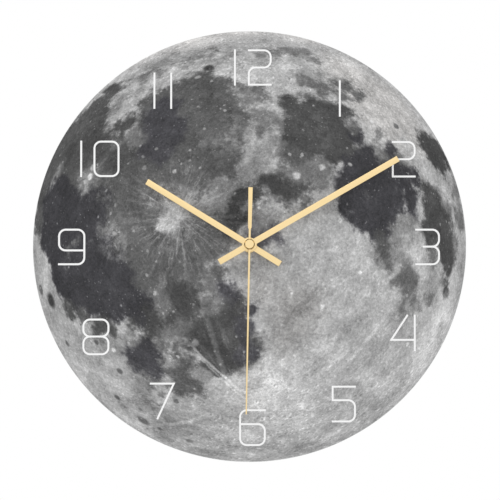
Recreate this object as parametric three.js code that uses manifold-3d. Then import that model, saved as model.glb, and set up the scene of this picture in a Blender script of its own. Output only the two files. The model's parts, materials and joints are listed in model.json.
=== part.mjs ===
// A frameless round wall clock: a printed acrylic dial carried by a battery quartz movement.
// Built in the dial's own plane: x to the right, y up to twelve o'clock, z from the wall to the viewer.
// The last group turns that plane upright, so that the finished part has +Z up and faces -Y.
import * as THREE from "three";
import { mergeVertices } from "three/addons/utils/BufferGeometryUtils.js";
import Module from "manifold-3d";

const wasm = await Module();
wasm.setup();

// Driving dimensions, in millimetres and degrees

// Dial
const DIAL_RADIUS = 150;
const DIAL_THICKNESS = 3;
const DIAL_EDGE = 0.4; // polished chamfer round both edges

// Hands, each measured from the shaft's axis, with its clock angle at rest
const HOUR_HAND = { tip: 83.7, tail: 25.1, width: 4.2, boss: 5.2, angle: 301.8 };
const MINUTE_HAND = { tip: 119.1, tail: 24.3, width: 4.2, boss: 4.9, angle: 59.8 };
const HAND_THICKNESS = 0.5;
const SECOND_TIP = 118;
const SECOND_TAIL = 39.7;
const SECOND_NECK = 10.4; // where the broad tail starts, from the axis
const SECOND_TAIL_WIDTH = 3;
const SECOND_SHOULDER_WIDTH = 2.5;
const SECOND_NEEDLE_WIDTH = 1.4;
const SECOND_TIP_WIDTH = 0.9;
const SECOND_BOSS = 2.2;
const SECOND_THICKNESS = 0.4;
const SECOND_ANGLE = 181.1;
const CAP_RADIUS = 3.7;
const CAP_HEIGHT = 1.6;
const CAP_WALL = 0.7;
const CAP_EDGE = 0.7;

// Shaft stack, each tube a wall round the one inside it
const SECOND_ARBOR = 0.6;
const MINUTE_PIPE_WALL = 0.78;
const HOUR_TUBE_WALL = 0.78;
const BARREL_WALL = 0.98; // threaded barrel of the bush
const SPIGOT_STEP = 0.7;
const FLANGE_STEP = 1.3;
const FLANGE_THICKNESS = 0.9;
const GASKET_WIDTH = 3.8;
const GASKET_THICKNESS = 1;
const WASHER_WIDTH = 1.4;
const WASHER_THICKNESS = 0.5;
const NUT_WALL = 0.9; // at the flats
const NUT_THICKNESS = 2;
const BARREL_PROUD = 0.5; // past the nut
const TUBE_PROUD = 0.4; // of each tube past its hand
const HAND_AIR = 1.2; // between one tube's end and the next hand

// Case of the movement
const BACK_WALL = 1.5;
const FRONT_WALL = 1.5;
const SIDE_WALL = 1.5;
const CASE_CORNER = 4;
const POST_SIDE = 3; // corner posts that the back cover rests on
const CATCH_LENGTH = 8;
const CATCH_THICKNESS = 0.8;
const CATCH_DEPTH = 0.6;

// Cell and its contacts
const CELL_RADIUS = 7.1;
const CELL_LENGTH = 50.5;
const CELL_BUTTON_RADIUS = 2.7;
const CELL_BUTTON = 1.2;
const CELL_EDGE = 0.6;
const CONTACT_ROOM = 1.5; // at each end of the cell
const CONTACT_THICKNESS = 0.4;
const CONTACT_SIDE = 9;
const CONTACT_PAD = 2.4; // radius of the raised pad that presses on the cell
const STRIP_WIDTH = 2.2;

// Gear train: tooth counts and sizes
const ROTOR_PINION = 12;
const INTERMEDIATE_WHEEL = 60;
const INTERMEDIATE_PINION = 10;
const SECONDS_WHEEL = 60;
const SECONDS_PINION = 8;
const THIRD_WHEEL = 60;
const THIRD_PINION = 8;
const CENTRE_WHEEL = 64;
const CANNON_PINION = 12;
const MOTION_WHEEL = 36;
const MOTION_PINION = 10;
const HOUR_WHEEL = 40;
const SETTING_PINION = 12;
const ROTOR_DISTANCE = 7.92;
const INTERMEDIATE_DISTANCE = 8.75;
const PINION_WALL = 0.1; // of the seconds and cannon pinions' roots round their shafts
const FACE_WIDTH = 1.5; // of every wheel and pinion
const LAYER_AIR = 0.5; // between one layer of wheels and the next
const REAR_AIR = 1; // between the back cover and the first layer
const ADDENDUM = 0.85; // shares of the module
const DEDENDUM = 1.25;
const TOOTH_SHARE = 0.36; // of the pitch, where the tooth crosses the pitch circle
const FLANK_SLOPE = 16; // degrees that each tooth's flank leans
const ARBOR = 0.5;
const PIVOT_BOSS = 1.4;
const PIVOT_FLOOR = 0.9; // cover left under each blind bearing
const MOTION_STUD = 0.7;
const CLUTCH_WIDTH = 1.6;
const CLUTCH_THICKNESS = 0.25;

// Motor and circuit
const MAGNET_RADIUS = 2.8;
const MAGNET_LENGTH = 3;
const STATOR_THICKNESS = 1.4;
const STATOR_HALF_LENGTH = 14;
const STATOR_RIM = 1.3; // iron left round the rotor's hole
const STATOR_ARM = 4;
const ROTOR_AIR = 0.5;
const COIL_RADIUS = 3.3;
const BOBBIN_FLANGE = 1;
const BOBBIN_WALL = 0.6;
const CORE_HEIGHT = 2.6;
const BOARD_HEIGHT = 24;
const BOARD_MIDDLE = 8; // height of the board's middle above the shaft
const BOARD_THICKNESS = 1;
const CRYSTAL_RADIUS = 1;
const CRYSTAL_LENGTH = 6;
const CHIP_RADIUS = 2.4;
const CHIP_HEIGHT = 0.9;
const BOARD_POST = 1.2;

// Setting knob
const KNOB_RADIUS = 4.5;
const KNOB_HEIGHT = 2;
const KNOB_RIDGES = 24;
const KNOB_RIDGE = 0.35;
const STEM = 1.5;
const STEM_PIVOT = 0.8;
const WELL_WALL = 0.8;
const WELL_FLOOR = 1;

// Hanger
const HANGER_WIDTH = 22;
const HANGER_THICKNESS = 3;
const HANGER_BAR = 3.5;
const HANGER_FOOT = 2;
const HANGER_FOOT_DEPTH = 6;
const LOOP_BOTTOM_WIDTH = 13;
const LOOP_TOP_WIDTH = 8.4;
const LOOP_HEIGHT = 7;
const HANGER_CORNER = 3;
const PEG_RADIUS = 1.2;
const PEG_SPACING = 14;
const PEG_PROUD = 0.8; // of each peg past the inside of the case

// Clearances
const RUN = 0.12; // radial, round everything that turns
const END_PLAY = 0.3; // axial, at every bearing
const SEAT = 0.1; // between pieces that are clamped or pressed together
const SLIP = 0.2; // round the back cover and the cell
const PAST = 1; // how far a cutting or joining form runs past the face it meets

// Facets to a circle
const DIAL_FACETS = 240;
const ROUND_FACETS = 64;
const SMALL_FACETS = 16;

// Radii of the shaft stack

const minutePipeRadius = SECOND_ARBOR + RUN + MINUTE_PIPE_WALL;
const hourTubeRadius = minutePipeRadius + RUN + HOUR_TUBE_WALL;
const barrelRadius = hourTubeRadius + RUN + BARREL_WALL;
const spigotRadius = barrelRadius + SPIGOT_STEP;
const flangeRadius = spigotRadius + FLANGE_STEP;

// Depths, from the wall to the viewer

const layerStart = (index) => BACK_WALL + REAR_AIR + index * (FACE_WIDTH + LAYER_AIR);
const layerEnd = (index) => layerStart(index) + FACE_WIDTH;
const ROTOR_LAYER = 0;
const SECONDS_LAYER = 1;
const THIRD_LAYER = 2;
const CENTRE_LAYER = 3;
const MOTION_LAYER = 4;
const HOUR_LAYER = 5;

const frontInside = Math.max(layerEnd(HOUR_LAYER) + LAYER_AIR, 2 * (CELL_RADIUS + SLIP));
const caseFront = frontInside + FRONT_WALL;
const gasketBack = caseFront + SEAT;
const dialBack = gasketBack + Math.max(GASKET_THICKNESS, FLANGE_THICKNESS) + SEAT;
const dialFront = dialBack + DIAL_THICKNESS;
const washerBack = dialFront + SEAT;
const nutBack = washerBack + WASHER_THICKNESS + SEAT;
const barrelEnd = nutBack + NUT_THICKNESS + BARREL_PROUD;
const hourHandBack = barrelEnd + HAND_AIR;
const hourTubeEnd = hourHandBack + HAND_THICKNESS + TUBE_PROUD;
const minuteHandBack = hourTubeEnd + HAND_AIR;
const minutePipeEnd = minuteHandBack + HAND_THICKNESS + TUBE_PROUD;
const secondHandBack = minutePipeEnd + HAND_AIR;
const capBack = secondHandBack + SECOND_THICKNESS + SEAT;
const capFront = capBack + CAP_HEIGHT;

// Gear sizes: a pinion cut on a shaft sets its pair's module, and the others follow their centre distance

const moduleOnShaft = (shaft, teeth) => (shaft + PINION_WALL) / (teeth / 2 - DEDENDUM);
const moduleFor = (distance, teeth, mateTeeth) => (2 * distance) / (teeth + mateTeeth);
const distanceFor = (module, teeth, mateTeeth) => (module * (teeth + mateTeeth)) / 2;
const rotorModule = moduleFor(ROTOR_DISTANCE, ROTOR_PINION, INTERMEDIATE_WHEEL);
const secondsModule = moduleFor(INTERMEDIATE_DISTANCE, INTERMEDIATE_PINION, SECONDS_WHEEL);
const thirdModule = moduleOnShaft(SECOND_ARBOR, SECONDS_PINION);
const thirdDistance = distanceFor(thirdModule, SECONDS_PINION, THIRD_WHEEL);
const centreModule = moduleFor(thirdDistance, THIRD_PINION, CENTRE_WHEEL);
const motionModule = moduleOnShaft(minutePipeRadius, CANNON_PINION);
const motionDistance = distanceFor(motionModule, CANNON_PINION, MOTION_WHEEL);
const hourModule = moduleFor(motionDistance, MOTION_PINION, HOUR_WHEEL);
const settingDistance = distanceFor(motionModule, SETTING_PINION, MOTION_WHEEL);
const tipRadius = (teeth, module) => module * (teeth / 2 + ADDENDUM);

// Places of the arbors, as a distance and a direction from another arbor

const radians = THREE.MathUtils.degToRad;
const THIRD_BEARING = radians(180);
const INTERMEDIATE_BEARING = radians(100);
const ROTOR_BEARING = radians(60);
const MOTION_BEARING = radians(20);
const SETTING_BEARING = radians(-20);

function away(from, distance, bearing) {
  return new THREE.Vector2(from.x + distance * Math.cos(bearing), from.y + distance * Math.sin(bearing));
}
const centre = new THREE.Vector2(0, 0);
const third = away(centre, thirdDistance, THIRD_BEARING);
const intermediate = away(centre, INTERMEDIATE_DISTANCE, INTERMEDIATE_BEARING);
const rotor = away(intermediate, ROTOR_DISTANCE, ROTOR_BEARING);
const motion = away(centre, motionDistance, MOTION_BEARING);
const setting = away(motion, settingDistance, SETTING_BEARING);

// Room inside the case: the wheels' chamber above, the cell's bay below

const magnetBack = layerStart(THIRD_LAYER) - LAYER_AIR;
const statorBack = magnetBack + (MAGNET_LENGTH - STATOR_THICKNESS) / 2;
const statorFront = statorBack + STATOR_THICKNESS;
const statorHole = MAGNET_RADIUS + ROTOR_AIR;
const statorTop = rotor.y + statorHole + STATOR_RIM;
const statorBottom = rotor.y - statorHole - STATOR_RIM;
const coreFront = statorFront + SEAT + STATOR_THICKNESS;
const coilMiddle = statorTop + END_PLAY + COIL_RADIUS;
const coilDepth = statorFront + SEAT + STATOR_THICKNESS / 2;

const chamberTop = coilMiddle + COIL_RADIUS + END_PLAY + PEG_PROUD;
const widestWheel = Math.max(tipRadius(THIRD_WHEEL, thirdModule), tipRadius(CENTRE_WHEEL, centreModule));
const chamberBottom = -(widestWheel + 2 * END_PLAY + CONTACT_THICKNESS + SEAT);
const chamberHalf = CELL_LENGTH / 2 + CONTACT_ROOM;
const bayTop = chamberBottom - SIDE_WALL;
const cellHeight = bayTop - SLIP - CELL_RADIUS;
const bayBottom = cellHeight - CELL_RADIUS - SLIP;
const cellDepth = frontInside - SLIP - CELL_RADIUS;
const caseTop = chamberTop + SIDE_WALL;
const caseBottom = bayBottom - SIDE_WALL;
const caseHalf = chamberHalf + SIDE_WALL;

// Solids: joining and cutting

function toSolid(geometry) {
  const bare = geometry.index ? geometry.toNonIndexed() : geometry.clone();
  bare.deleteAttribute("normal");
  bare.deleteAttribute("uv");
  const merged = mergeVertices(bare, 1e-4);
  const vertProperties = merged.attributes.position.array;
  const triVerts = new Uint32Array(merged.index.array);
  return new wasm.Manifold(new wasm.Mesh({ numProp: 3, vertProperties, triVerts }));
}

function toGeometry(solid) {
  const mesh = solid.getMesh();
  const geometry = new THREE.BufferGeometry();
  geometry.setAttribute("position", new THREE.BufferAttribute(mesh.vertProperties, 3));
  geometry.setIndex(new THREE.BufferAttribute(mesh.triVerts, 1));
  geometry.computeVertexNormals();
  return geometry;
}

function join(...pieces) {
  return toGeometry(pieces.map(toSolid).reduce((whole, piece) => whole.add(piece)));
}

function cut(body, ...tools) {
  return toGeometry(tools.map(toSolid).reduce((left, tool) => left.subtract(tool), toSolid(body)));
}

// Solids: basic forms

function prism(shape, back, front, facets = SMALL_FACETS) {
  const options = { depth: front - back, bevelEnabled: false, curveSegments: facets / 2 };
  return new THREE.ExtrudeGeometry(shape, options).translate(0, 0, back);
}

function circle(radius, at = centre) {
  return new THREE.Shape().absarc(at.x, at.y, radius, 0, 2 * Math.PI);
}

function rod(radius, back, front, at = centre, facets = SMALL_FACETS) {
  return prism(circle(radius, at), back, front, facets);
}

function tube(outer, bore, back, front, at = centre, facets = SMALL_FACETS) {
  const shape = circle(outer, at);
  shape.holes.push(new THREE.Path().absarc(at.x, at.y, bore, 0, 2 * Math.PI, true));
  return prism(shape, back, front, facets);
}

function block(left, right, bottom, top, back, front) {
  const geometry = new THREE.BoxGeometry(right - left, top - bottom, front - back);
  return geometry.translate((left + right) / 2, (bottom + top) / 2, (back + front) / 2);
}

function roundedBlock(left, right, bottom, top, corner, back, front) {
  const shape = new THREE.Shape();
  shape.absarc(right - corner, top - corner, corner, 0, Math.PI / 2);
  shape.absarc(left + corner, top - corner, corner, Math.PI / 2, Math.PI);
  shape.absarc(left + corner, bottom + corner, corner, Math.PI, 1.5 * Math.PI);
  shape.absarc(right - corner, bottom + corner, corner, 1.5 * Math.PI, 2 * Math.PI);
  return prism(shape, back, front, SMALL_FACETS / 2);
}

// A body of revolution about the depth axis, from points of radius and depth that run from back to front.
function turned(profile, facets = ROUND_FACETS) {
  const points = profile.map(([radius, depth]) => new THREE.Vector2(radius, depth));
  return new THREE.LatheGeometry(points, facets).rotateX(Math.PI / 2);
}

function polygon(points) {
  return new THREE.Shape(points.map(([x, y]) => new THREE.Vector2(x, y)));
}

// Solids: gears

// Straight-sided teeth, with one tooth's middle at the phase angle.
function gearShape(teeth, module, phase, at) {
  const root = module * (teeth / 2 - DEDENDUM);
  const tip = tipRadius(teeth, module);
  const pitch = (2 * Math.PI) / teeth;
  const lean = (2 * Math.tan(radians(FLANK_SLOPE))) / Math.PI;
  const rootShare = TOOTH_SHARE + lean * DEDENDUM;
  const tipShare = TOOTH_SHARE - lean * ADDENDUM;
  const corners = [
    [root, -rootShare / 2],
    [tip, -tipShare / 2],
    [tip, tipShare / 2],
    [root, rootShare / 2],
  ];
  const points = [];
  for (let tooth = 0; tooth < teeth; tooth += 1) {
    for (const [radius, share] of corners) {
      const angle = phase + (tooth + share) * pitch;
      points.push(new THREE.Vector2(at.x + radius * Math.cos(angle), at.y + radius * Math.sin(angle)));
    }
  }
  return new THREE.Shape(points);
}

function gear(teeth, module, phase, at, layer) {
  return prism(gearShape(teeth, module, phase, at), layerStart(layer), layerEnd(layer));
}

// The phase at which a gear meshes with another that lies in the given direction from it.
function meshingPhase(teeth, mateTeeth, matePhase, bearingFromMate) {
  return bearingFromMate + Math.PI - (mateTeeth * (matePhase - bearingFromMate) + Math.PI) / teeth;
}

// Materials

function material(color, roughness, metalness = 0) {
  return new THREE.MeshStandardMaterial({ color, roughness, metalness });
}
const acrylic = material("#8e8e90", 0.25);
const gold = material("#e9c583", 0.38, 1);
const brass = material("#c9a250", 0.35, 1);
const steel = material("#b9bcc0", 0.35, 1);
const blackPlastic = material("#17181a", 0.55);
const whitePlastic = material("#e4e4df", 0.5);
const rubber = material("#1b1b1b", 0.9);
const iron = material("#6d6f73", 0.45, 1);
const copper = material("#b5652e", 0.4, 1);
const ferrite = material("#2d2b2c", 0.6);
const boardGreen = material("#2f6b43", 0.6);
const cellJacket = material("#3a4c5f", 0.4);

// Dial and hands

function dialPlate() {
  const bore = barrelRadius + SEAT;
  const profile = [
    [bore, dialBack],
    [DIAL_RADIUS - DIAL_EDGE, dialBack],
    [DIAL_RADIUS, dialBack + DIAL_EDGE],
    [DIAL_RADIUS, dialFront - DIAL_EDGE],
    [DIAL_RADIUS - DIAL_EDGE, dialFront],
    [bore, dialFront],
    [bore, dialBack],
  ];
  return turned(profile, DIAL_FACETS);
}

// A flat bar with a round boss, pushed on its tube by a bore. It is drawn pointing to twelve o'clock.
function barHand({ tip, tail, width, boss }, tubeRadius, back) {
  const front = back + HAND_THICKNESS;
  const bar = block(-width / 2, width / 2, -tail, tip, back, front);
  const disc = rod(boss, back, front, centre, ROUND_FACETS);
  return cut(join(bar, disc), rod(tubeRadius + SEAT, back - PAST, front + PAST));
}

// A tapered needle with a broad tail that balances it, pointing to twelve o'clock.
function secondHand() {
  const back = secondHandBack;
  const front = back + SECOND_THICKNESS;
  const needle = polygon([
    [-SECOND_NEEDLE_WIDTH / 2, 0],
    [SECOND_NEEDLE_WIDTH / 2, 0],
    [SECOND_TIP_WIDTH / 2, SECOND_TIP],
    [-SECOND_TIP_WIDTH / 2, SECOND_TIP],
  ]);
  const shoulder = SECOND_NECK + SECOND_SHOULDER_WIDTH / 2;
  const tail = polygon([
    [-SECOND_NEEDLE_WIDTH / 2, 0],
    [-SECOND_NEEDLE_WIDTH / 2, -SECOND_NECK],
    [-SECOND_SHOULDER_WIDTH / 2, -shoulder],
    [-SECOND_TAIL_WIDTH / 2, -SECOND_TAIL],
    [SECOND_TAIL_WIDTH / 2, -SECOND_TAIL],
    [SECOND_SHOULDER_WIDTH / 2, -shoulder],
    [SECOND_NEEDLE_WIDTH / 2, -SECOND_NECK],
    [SECOND_NEEDLE_WIDTH / 2, 0],
  ]);
  const boss = rod(SECOND_BOSS, back, front);
  const flat = join(prism(needle, back, front), prism(tail, back, front), boss);
  return cut(flat, rod(SECOND_ARBOR + SEAT, back - PAST, front + PAST));
}

// The round cap that hides the seconds arbor's end.
function secondHandCap() {
  const bore = SECOND_ARBOR + SEAT;
  const roof = capFront - CAP_WALL;
  return turned([
    [0, roof],
    [bore, roof],
    [bore, capBack],
    [CAP_RADIUS, capBack],
    [CAP_RADIUS, capFront - CAP_EDGE],
    [CAP_RADIUS - CAP_EDGE, capFront],
    [0, capFront],
  ]);
}

// Fastening of the dial

function threadedBush() {
  const bore = hourTubeRadius + RUN;
  return turned([
    [bore, frontInside + SEAT],
    [spigotRadius, frontInside + SEAT],
    [spigotRadius, gasketBack],
    [flangeRadius, gasketBack],
    [flangeRadius, gasketBack + FLANGE_THICKNESS],
    [barrelRadius, gasketBack + FLANGE_THICKNESS],
    [barrelRadius, barrelEnd],
    [bore, barrelEnd],
    [bore, frontInside + SEAT],
  ]);
}

function rubberGasket() {
  const bore = flangeRadius + SLIP;
  return tube(bore + GASKET_WIDTH, bore, gasketBack, gasketBack + GASKET_THICKNESS, centre, ROUND_FACETS);
}

function dialWasher() {
  const bore = barrelRadius + SEAT;
  return tube(bore + WASHER_WIDTH, bore, washerBack, washerBack + WASHER_THICKNESS, centre, ROUND_FACETS);
}

function hexNut() {
  const bore = barrelRadius + SEAT;
  const corner = (bore + NUT_WALL) / Math.cos(Math.PI / 6);
  const blank = new THREE.CylinderGeometry(corner, corner, NUT_THICKNESS, 6);
  blank.rotateX(Math.PI / 2).translate(0, 0, nutBack + NUT_THICKNESS / 2);
  return cut(blank, rod(bore, nutBack - PAST, barrelEnd, centre, ROUND_FACETS));
}

// Wheels, from the motor to the hands

const secondsPinionPhase = THIRD_BEARING;
const thirdPhase = meshingPhase(THIRD_WHEEL, SECONDS_PINION, secondsPinionPhase, THIRD_BEARING);
const thirdPinionPhase = THIRD_BEARING + Math.PI;
const centrePhase = meshingPhase(CENTRE_WHEEL, THIRD_PINION, thirdPinionPhase, THIRD_BEARING + Math.PI);
const intermediatePinionPhase = INTERMEDIATE_BEARING + Math.PI;
const secondsPhase = meshingPhase(
  SECONDS_WHEEL,
  INTERMEDIATE_PINION,
  intermediatePinionPhase,
  INTERMEDIATE_BEARING + Math.PI,
);
const rotorPhase = ROTOR_BEARING + Math.PI;
const intermediatePhase = meshingPhase(INTERMEDIATE_WHEEL, ROTOR_PINION, rotorPhase, rotorPhase);
const cannonPhase = MOTION_BEARING;
const motionPhase = meshingPhase(MOTION_WHEEL, CANNON_PINION, cannonPhase, MOTION_BEARING);
const settingPhase = meshingPhase(SETTING_PINION, MOTION_WHEEL, motionPhase, SETTING_BEARING);
const motionPinionPhase = MOTION_BEARING + Math.PI;
const hourPhase = meshingPhase(HOUR_WHEEL, MOTION_PINION, motionPinionPhase, MOTION_BEARING + Math.PI);

const rearPivot = PIVOT_FLOOR + END_PLAY;
const frontPivot = frontInside - END_PLAY;

function rotorPinion() {
  const pinion = gear(ROTOR_PINION, rotorModule, rotorPhase, rotor, ROTOR_LAYER);
  return join(pinion, rod(ARBOR, rearPivot, frontPivot, rotor));
}

function rotorMagnet() {
  return tube(MAGNET_RADIUS, ARBOR + SEAT, magnetBack, magnetBack + MAGNET_LENGTH, rotor);
}

function intermediateWheel() {
  const wheel = gear(INTERMEDIATE_WHEEL, rotorModule, intermediatePhase, intermediate, ROTOR_LAYER);
  const pinionPhase = intermediatePinionPhase;
  const pinion = gear(INTERMEDIATE_PINION, secondsModule, pinionPhase, intermediate, SECONDS_LAYER);
  return join(wheel, pinion, rod(ARBOR, rearPivot, frontPivot, intermediate));
}

function secondsWheel() {
  const wheel = gear(SECONDS_WHEEL, secondsModule, secondsPhase, centre, SECONDS_LAYER);
  const pinion = gear(SECONDS_PINION, thirdModule, secondsPinionPhase, centre, THIRD_LAYER);
  return join(wheel, pinion, rod(SECOND_ARBOR, rearPivot, capFront - CAP_WALL - SEAT));
}

function thirdWheel() {
  const wheel = gear(THIRD_WHEEL, thirdModule, thirdPhase, third, THIRD_LAYER);
  const pinion = gear(THIRD_PINION, centreModule, thirdPinionPhase, third, CENTRE_LAYER);
  return join(wheel, pinion, rod(ARBOR, rearPivot, frontPivot, third));
}

function centreWheel() {
  const back = layerStart(CENTRE_LAYER);
  const wheel = gear(CENTRE_WHEEL, centreModule, centrePhase, centre, CENTRE_LAYER);
  return cut(wheel, rod(minutePipeRadius + SEAT, back - PAST, back + FACE_WIDTH + PAST));
}

// The slotted spring that presses the centre wheel to the minute pipe. It slips when the hands are set.
function clutchSpring() {
  const back = layerEnd(CENTRE_LAYER) + (LAYER_AIR - CLUTCH_THICKNESS) / 2;
  const front = back + CLUTCH_THICKNESS;
  const bore = minutePipeRadius + SEAT;
  const ring = tube(bore + CLUTCH_WIDTH, bore, back, front);
  const slot = block(0, bore + CLUTCH_WIDTH + PAST, -SLIP, SLIP, back - PAST, front + PAST);
  return cut(ring, slot);
}

function minutePipe() {
  const back = layerStart(CENTRE_LAYER);
  const pinion = gear(CANNON_PINION, motionModule, cannonPhase, centre, MOTION_LAYER);
  const pipe = join(pinion, rod(minutePipeRadius, back, minutePipeEnd));
  return cut(pipe, rod(SECOND_ARBOR + RUN, back - PAST, minutePipeEnd + PAST));
}

function motionWheel() {
  const wheel = gear(MOTION_WHEEL, motionModule, motionPhase, motion, MOTION_LAYER);
  const pinion = gear(MOTION_PINION, hourModule, motionPinionPhase, motion, HOUR_LAYER);
  const hub = rod(MOTION_STUD + 2 * RUN, layerEnd(MOTION_LAYER), layerStart(HOUR_LAYER), motion);
  const bore = rod(MOTION_STUD + RUN, layerStart(MOTION_LAYER) - PAST, layerEnd(HOUR_LAYER) + PAST, motion);
  return cut(join(wheel, pinion, hub), bore);
}

function hourWheel() {
  const wheel = gear(HOUR_WHEEL, hourModule, hourPhase, centre, HOUR_LAYER);
  const whole = join(wheel, rod(hourTubeRadius, layerStart(HOUR_LAYER), hourTubeEnd, centre, ROUND_FACETS));
  return cut(whole, rod(minutePipeRadius + RUN, layerStart(HOUR_LAYER) - PAST, hourTubeEnd + PAST));
}

// Setting knob at the back, sunk in a well of the back cover

const knobBack = END_PLAY;
const knobFront = knobBack + KNOB_HEIGHT;
const wellFloorBack = knobFront + END_PLAY;
const wellFloorFront = wellFloorBack + WELL_FLOOR;
const wellRadius = KNOB_RADIUS + KNOB_RIDGE + 2 * SLIP;

function settingKnob() {
  const points = [];
  for (let side = 0; side < 2 * KNOB_RIDGES; side += 1) {
    const radius = KNOB_RADIUS + (side % 2 ? KNOB_RIDGE : 0);
    const angle = (side * Math.PI) / KNOB_RIDGES;
    points.push([setting.x + radius * Math.cos(angle), setting.y + radius * Math.sin(angle)]);
  }
  const grip = prism(polygon(points), knobBack, knobFront);
  return cut(grip, rod(STEM_PIVOT + SEAT, knobBack + KNOB_HEIGHT / 2, knobFront + PAST, setting));
}

function settingStem() {
  const pinion = gear(SETTING_PINION, motionModule, settingPhase, setting, MOTION_LAYER);
  const shaft = rod(STEM, knobFront + SEAT, layerStart(MOTION_LAYER), setting);
  const pivot = rod(STEM_PIVOT, knobBack + KNOB_HEIGHT / 2 + SEAT, frontPivot, setting);
  return join(pinion, shaft, pivot);
}

// Motor: iron stator, core, bobbin and winding

const coilLeft = rotor.x - STATOR_HALF_LENGTH + STATOR_ARM + END_PLAY;
const coilRight = rotor.x + STATOR_HALF_LENGTH - STATOR_ARM - END_PLAY;
const coreTop = coilMiddle + CORE_HEIGHT / 2;
const coreBottom = coilMiddle - CORE_HEIGHT / 2;

function stator() {
  const left = rotor.x - STATOR_HALF_LENGTH;
  const right = rotor.x + STATOR_HALF_LENGTH;
  const yoke = block(left, right, statorBottom, statorTop, statorBack, statorFront);
  const leftArm = block(left, left + STATOR_ARM, statorBottom, coreTop, statorBack, statorFront);
  const rightArm = block(right - STATOR_ARM, right, statorBottom, coreTop, statorBack, statorFront);
  return cut(join(yoke, leftArm, rightArm), rod(statorHole, statorBack - PAST, statorFront + PAST, rotor));
}

function coilCore() {
  const half = STATOR_HALF_LENGTH;
  return block(rotor.x - half, rotor.x + half, coreBottom, coreTop, statorFront + SEAT, coreFront);
}

// A rod along x, centred on the coil's own axis.
function coilRod(radius, left, right) {
  const geometry = new THREE.CylinderGeometry(radius, radius, right - left, SMALL_FACETS);
  return geometry.rotateZ(Math.PI / 2).translate((left + right) / 2, coilMiddle, coilDepth);
}

const bobbinTube = Math.hypot(CORE_HEIGHT, STATOR_THICKNESS) / 2 + SEAT + BOBBIN_WALL;

function coilBobbin() {
  const body = join(
    coilRod(bobbinTube, coilLeft, coilRight),
    coilRod(COIL_RADIUS, coilLeft, coilLeft + BOBBIN_FLANGE),
    coilRod(COIL_RADIUS, coilRight - BOBBIN_FLANGE, coilRight),
  );
  const left = coilLeft - PAST;
  const right = coilRight + PAST;
  const hole = block(left, right, coreBottom - SEAT, coreTop + SEAT, statorFront, coreFront + SEAT);
  return cut(body, hole);
}

function coilWinding() {
  const left = coilLeft + BOBBIN_FLANGE + SEAT;
  const right = coilRight - BOBBIN_FLANGE - SEAT;
  const hole = coilRod(bobbinTube + SEAT, left - PAST, right + PAST);
  return cut(coilRod(COIL_RADIUS - SLIP, left, right), hole);
}

// Circuit board, on posts beside the third wheel

const boardLeft = -chamberHalf + SLIP;
const boardRight = third.x - tipRadius(THIRD_WHEEL, thirdModule) - LAYER_AIR;
const boardBottom = BOARD_MIDDLE - BOARD_HEIGHT / 2;
const boardTop = BOARD_MIDDLE + BOARD_HEIGHT / 2;
const boardBack = layerStart(MOTION_LAYER);
const boardFront = boardBack + BOARD_THICKNESS;
const boardCentre = (boardLeft + boardRight) / 2;
const boardPosts = [boardBottom, boardTop].map((edge) => {
  return new THREE.Vector2(boardCentre, edge + Math.sign(BOARD_MIDDLE - edge) * 2 * BOARD_POST);
});

function circuitBoard() {
  return block(boardLeft, boardRight, boardBottom, boardTop, boardBack, boardFront);
}

function quartzCrystal() {
  const geometry = new THREE.CylinderGeometry(CRYSTAL_RADIUS, CRYSTAL_RADIUS, CRYSTAL_LENGTH, SMALL_FACETS);
  const height = BOARD_MIDDLE + CRYSTAL_LENGTH / 2 + SLIP;
  return geometry.translate(boardCentre, height, boardBack - SEAT - CRYSTAL_RADIUS);
}

function driverChip() {
  const at = new THREE.Vector2(boardCentre, BOARD_MIDDLE - CHIP_RADIUS);
  return rod(CHIP_RADIUS, boardBack - SEAT - CHIP_HEIGHT, boardBack - SEAT, at);
}

// Cell and contacts

// A body of revolution about the x axis, from points of radius and x that run from left to right.
function turnedAcross(profile, facets) {
  const points = profile.map(([radius, x]) => new THREE.Vector2(radius, -x)).reverse();
  return new THREE.LatheGeometry(points, facets).rotateZ(Math.PI / 2).translate(0, cellHeight, cellDepth);
}

function drycell() {
  const left = -CELL_LENGTH / 2;
  const right = CELL_LENGTH / 2;
  const shoulder = right - CELL_BUTTON;
  const profile = [
    [0, left],
    [CELL_RADIUS - CELL_EDGE, left],
    [CELL_RADIUS, left + CELL_EDGE],
    [CELL_RADIUS, shoulder - CELL_EDGE],
    [CELL_RADIUS - CELL_EDGE, shoulder],
    [CELL_BUTTON_RADIUS, shoulder],
    [CELL_BUTTON_RADIUS, right],
    [0, right],
  ];
  return turnedAcross(profile, ROUND_FACETS);
}

// A pressed plate at one end of the cell, with a raised pad towards it. The side is -1 at the left end.
function contactPlate(side) {
  const outer = side * (chamberHalf - SEAT);
  const inner = side * (chamberHalf - SEAT - CONTACT_THICKNESS);
  const face = side * (CELL_LENGTH / 2 + SLIP);
  const half = CONTACT_SIDE / 2;
  const left = Math.min(outer, inner);
  const right = Math.max(outer, inner);
  const plate = block(left, right, cellHeight - half, bayTop - SEAT, cellDepth - half, frontInside - SEAT);
  const middle = (face + outer) / 2;
  const pad = new THREE.CylinderGeometry(CONTACT_PAD, CONTACT_PAD, Math.abs(outer - face), SMALL_FACETS);
  return join(plate, pad.rotateZ(Math.PI / 2).translate(middle, cellHeight, cellDepth));
}

const stripFront = frontInside - SEAT;
const stripBack = stripFront - STRIP_WIDTH;
const stripBottom = chamberBottom + SEAT;
const stripTop = stripBottom + CONTACT_THICKNESS;

// The upright tab by which a contact passes from the bay to the chamber.
function contactTab(side, top) {
  const outer = side * (chamberHalf - SEAT);
  const inner = side * (chamberHalf - SEAT - CONTACT_THICKNESS);
  const left = Math.min(outer, inner);
  return block(left, left + CONTACT_THICKNESS, bayTop - PAST, top, stripBack, stripFront);
}

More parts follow.
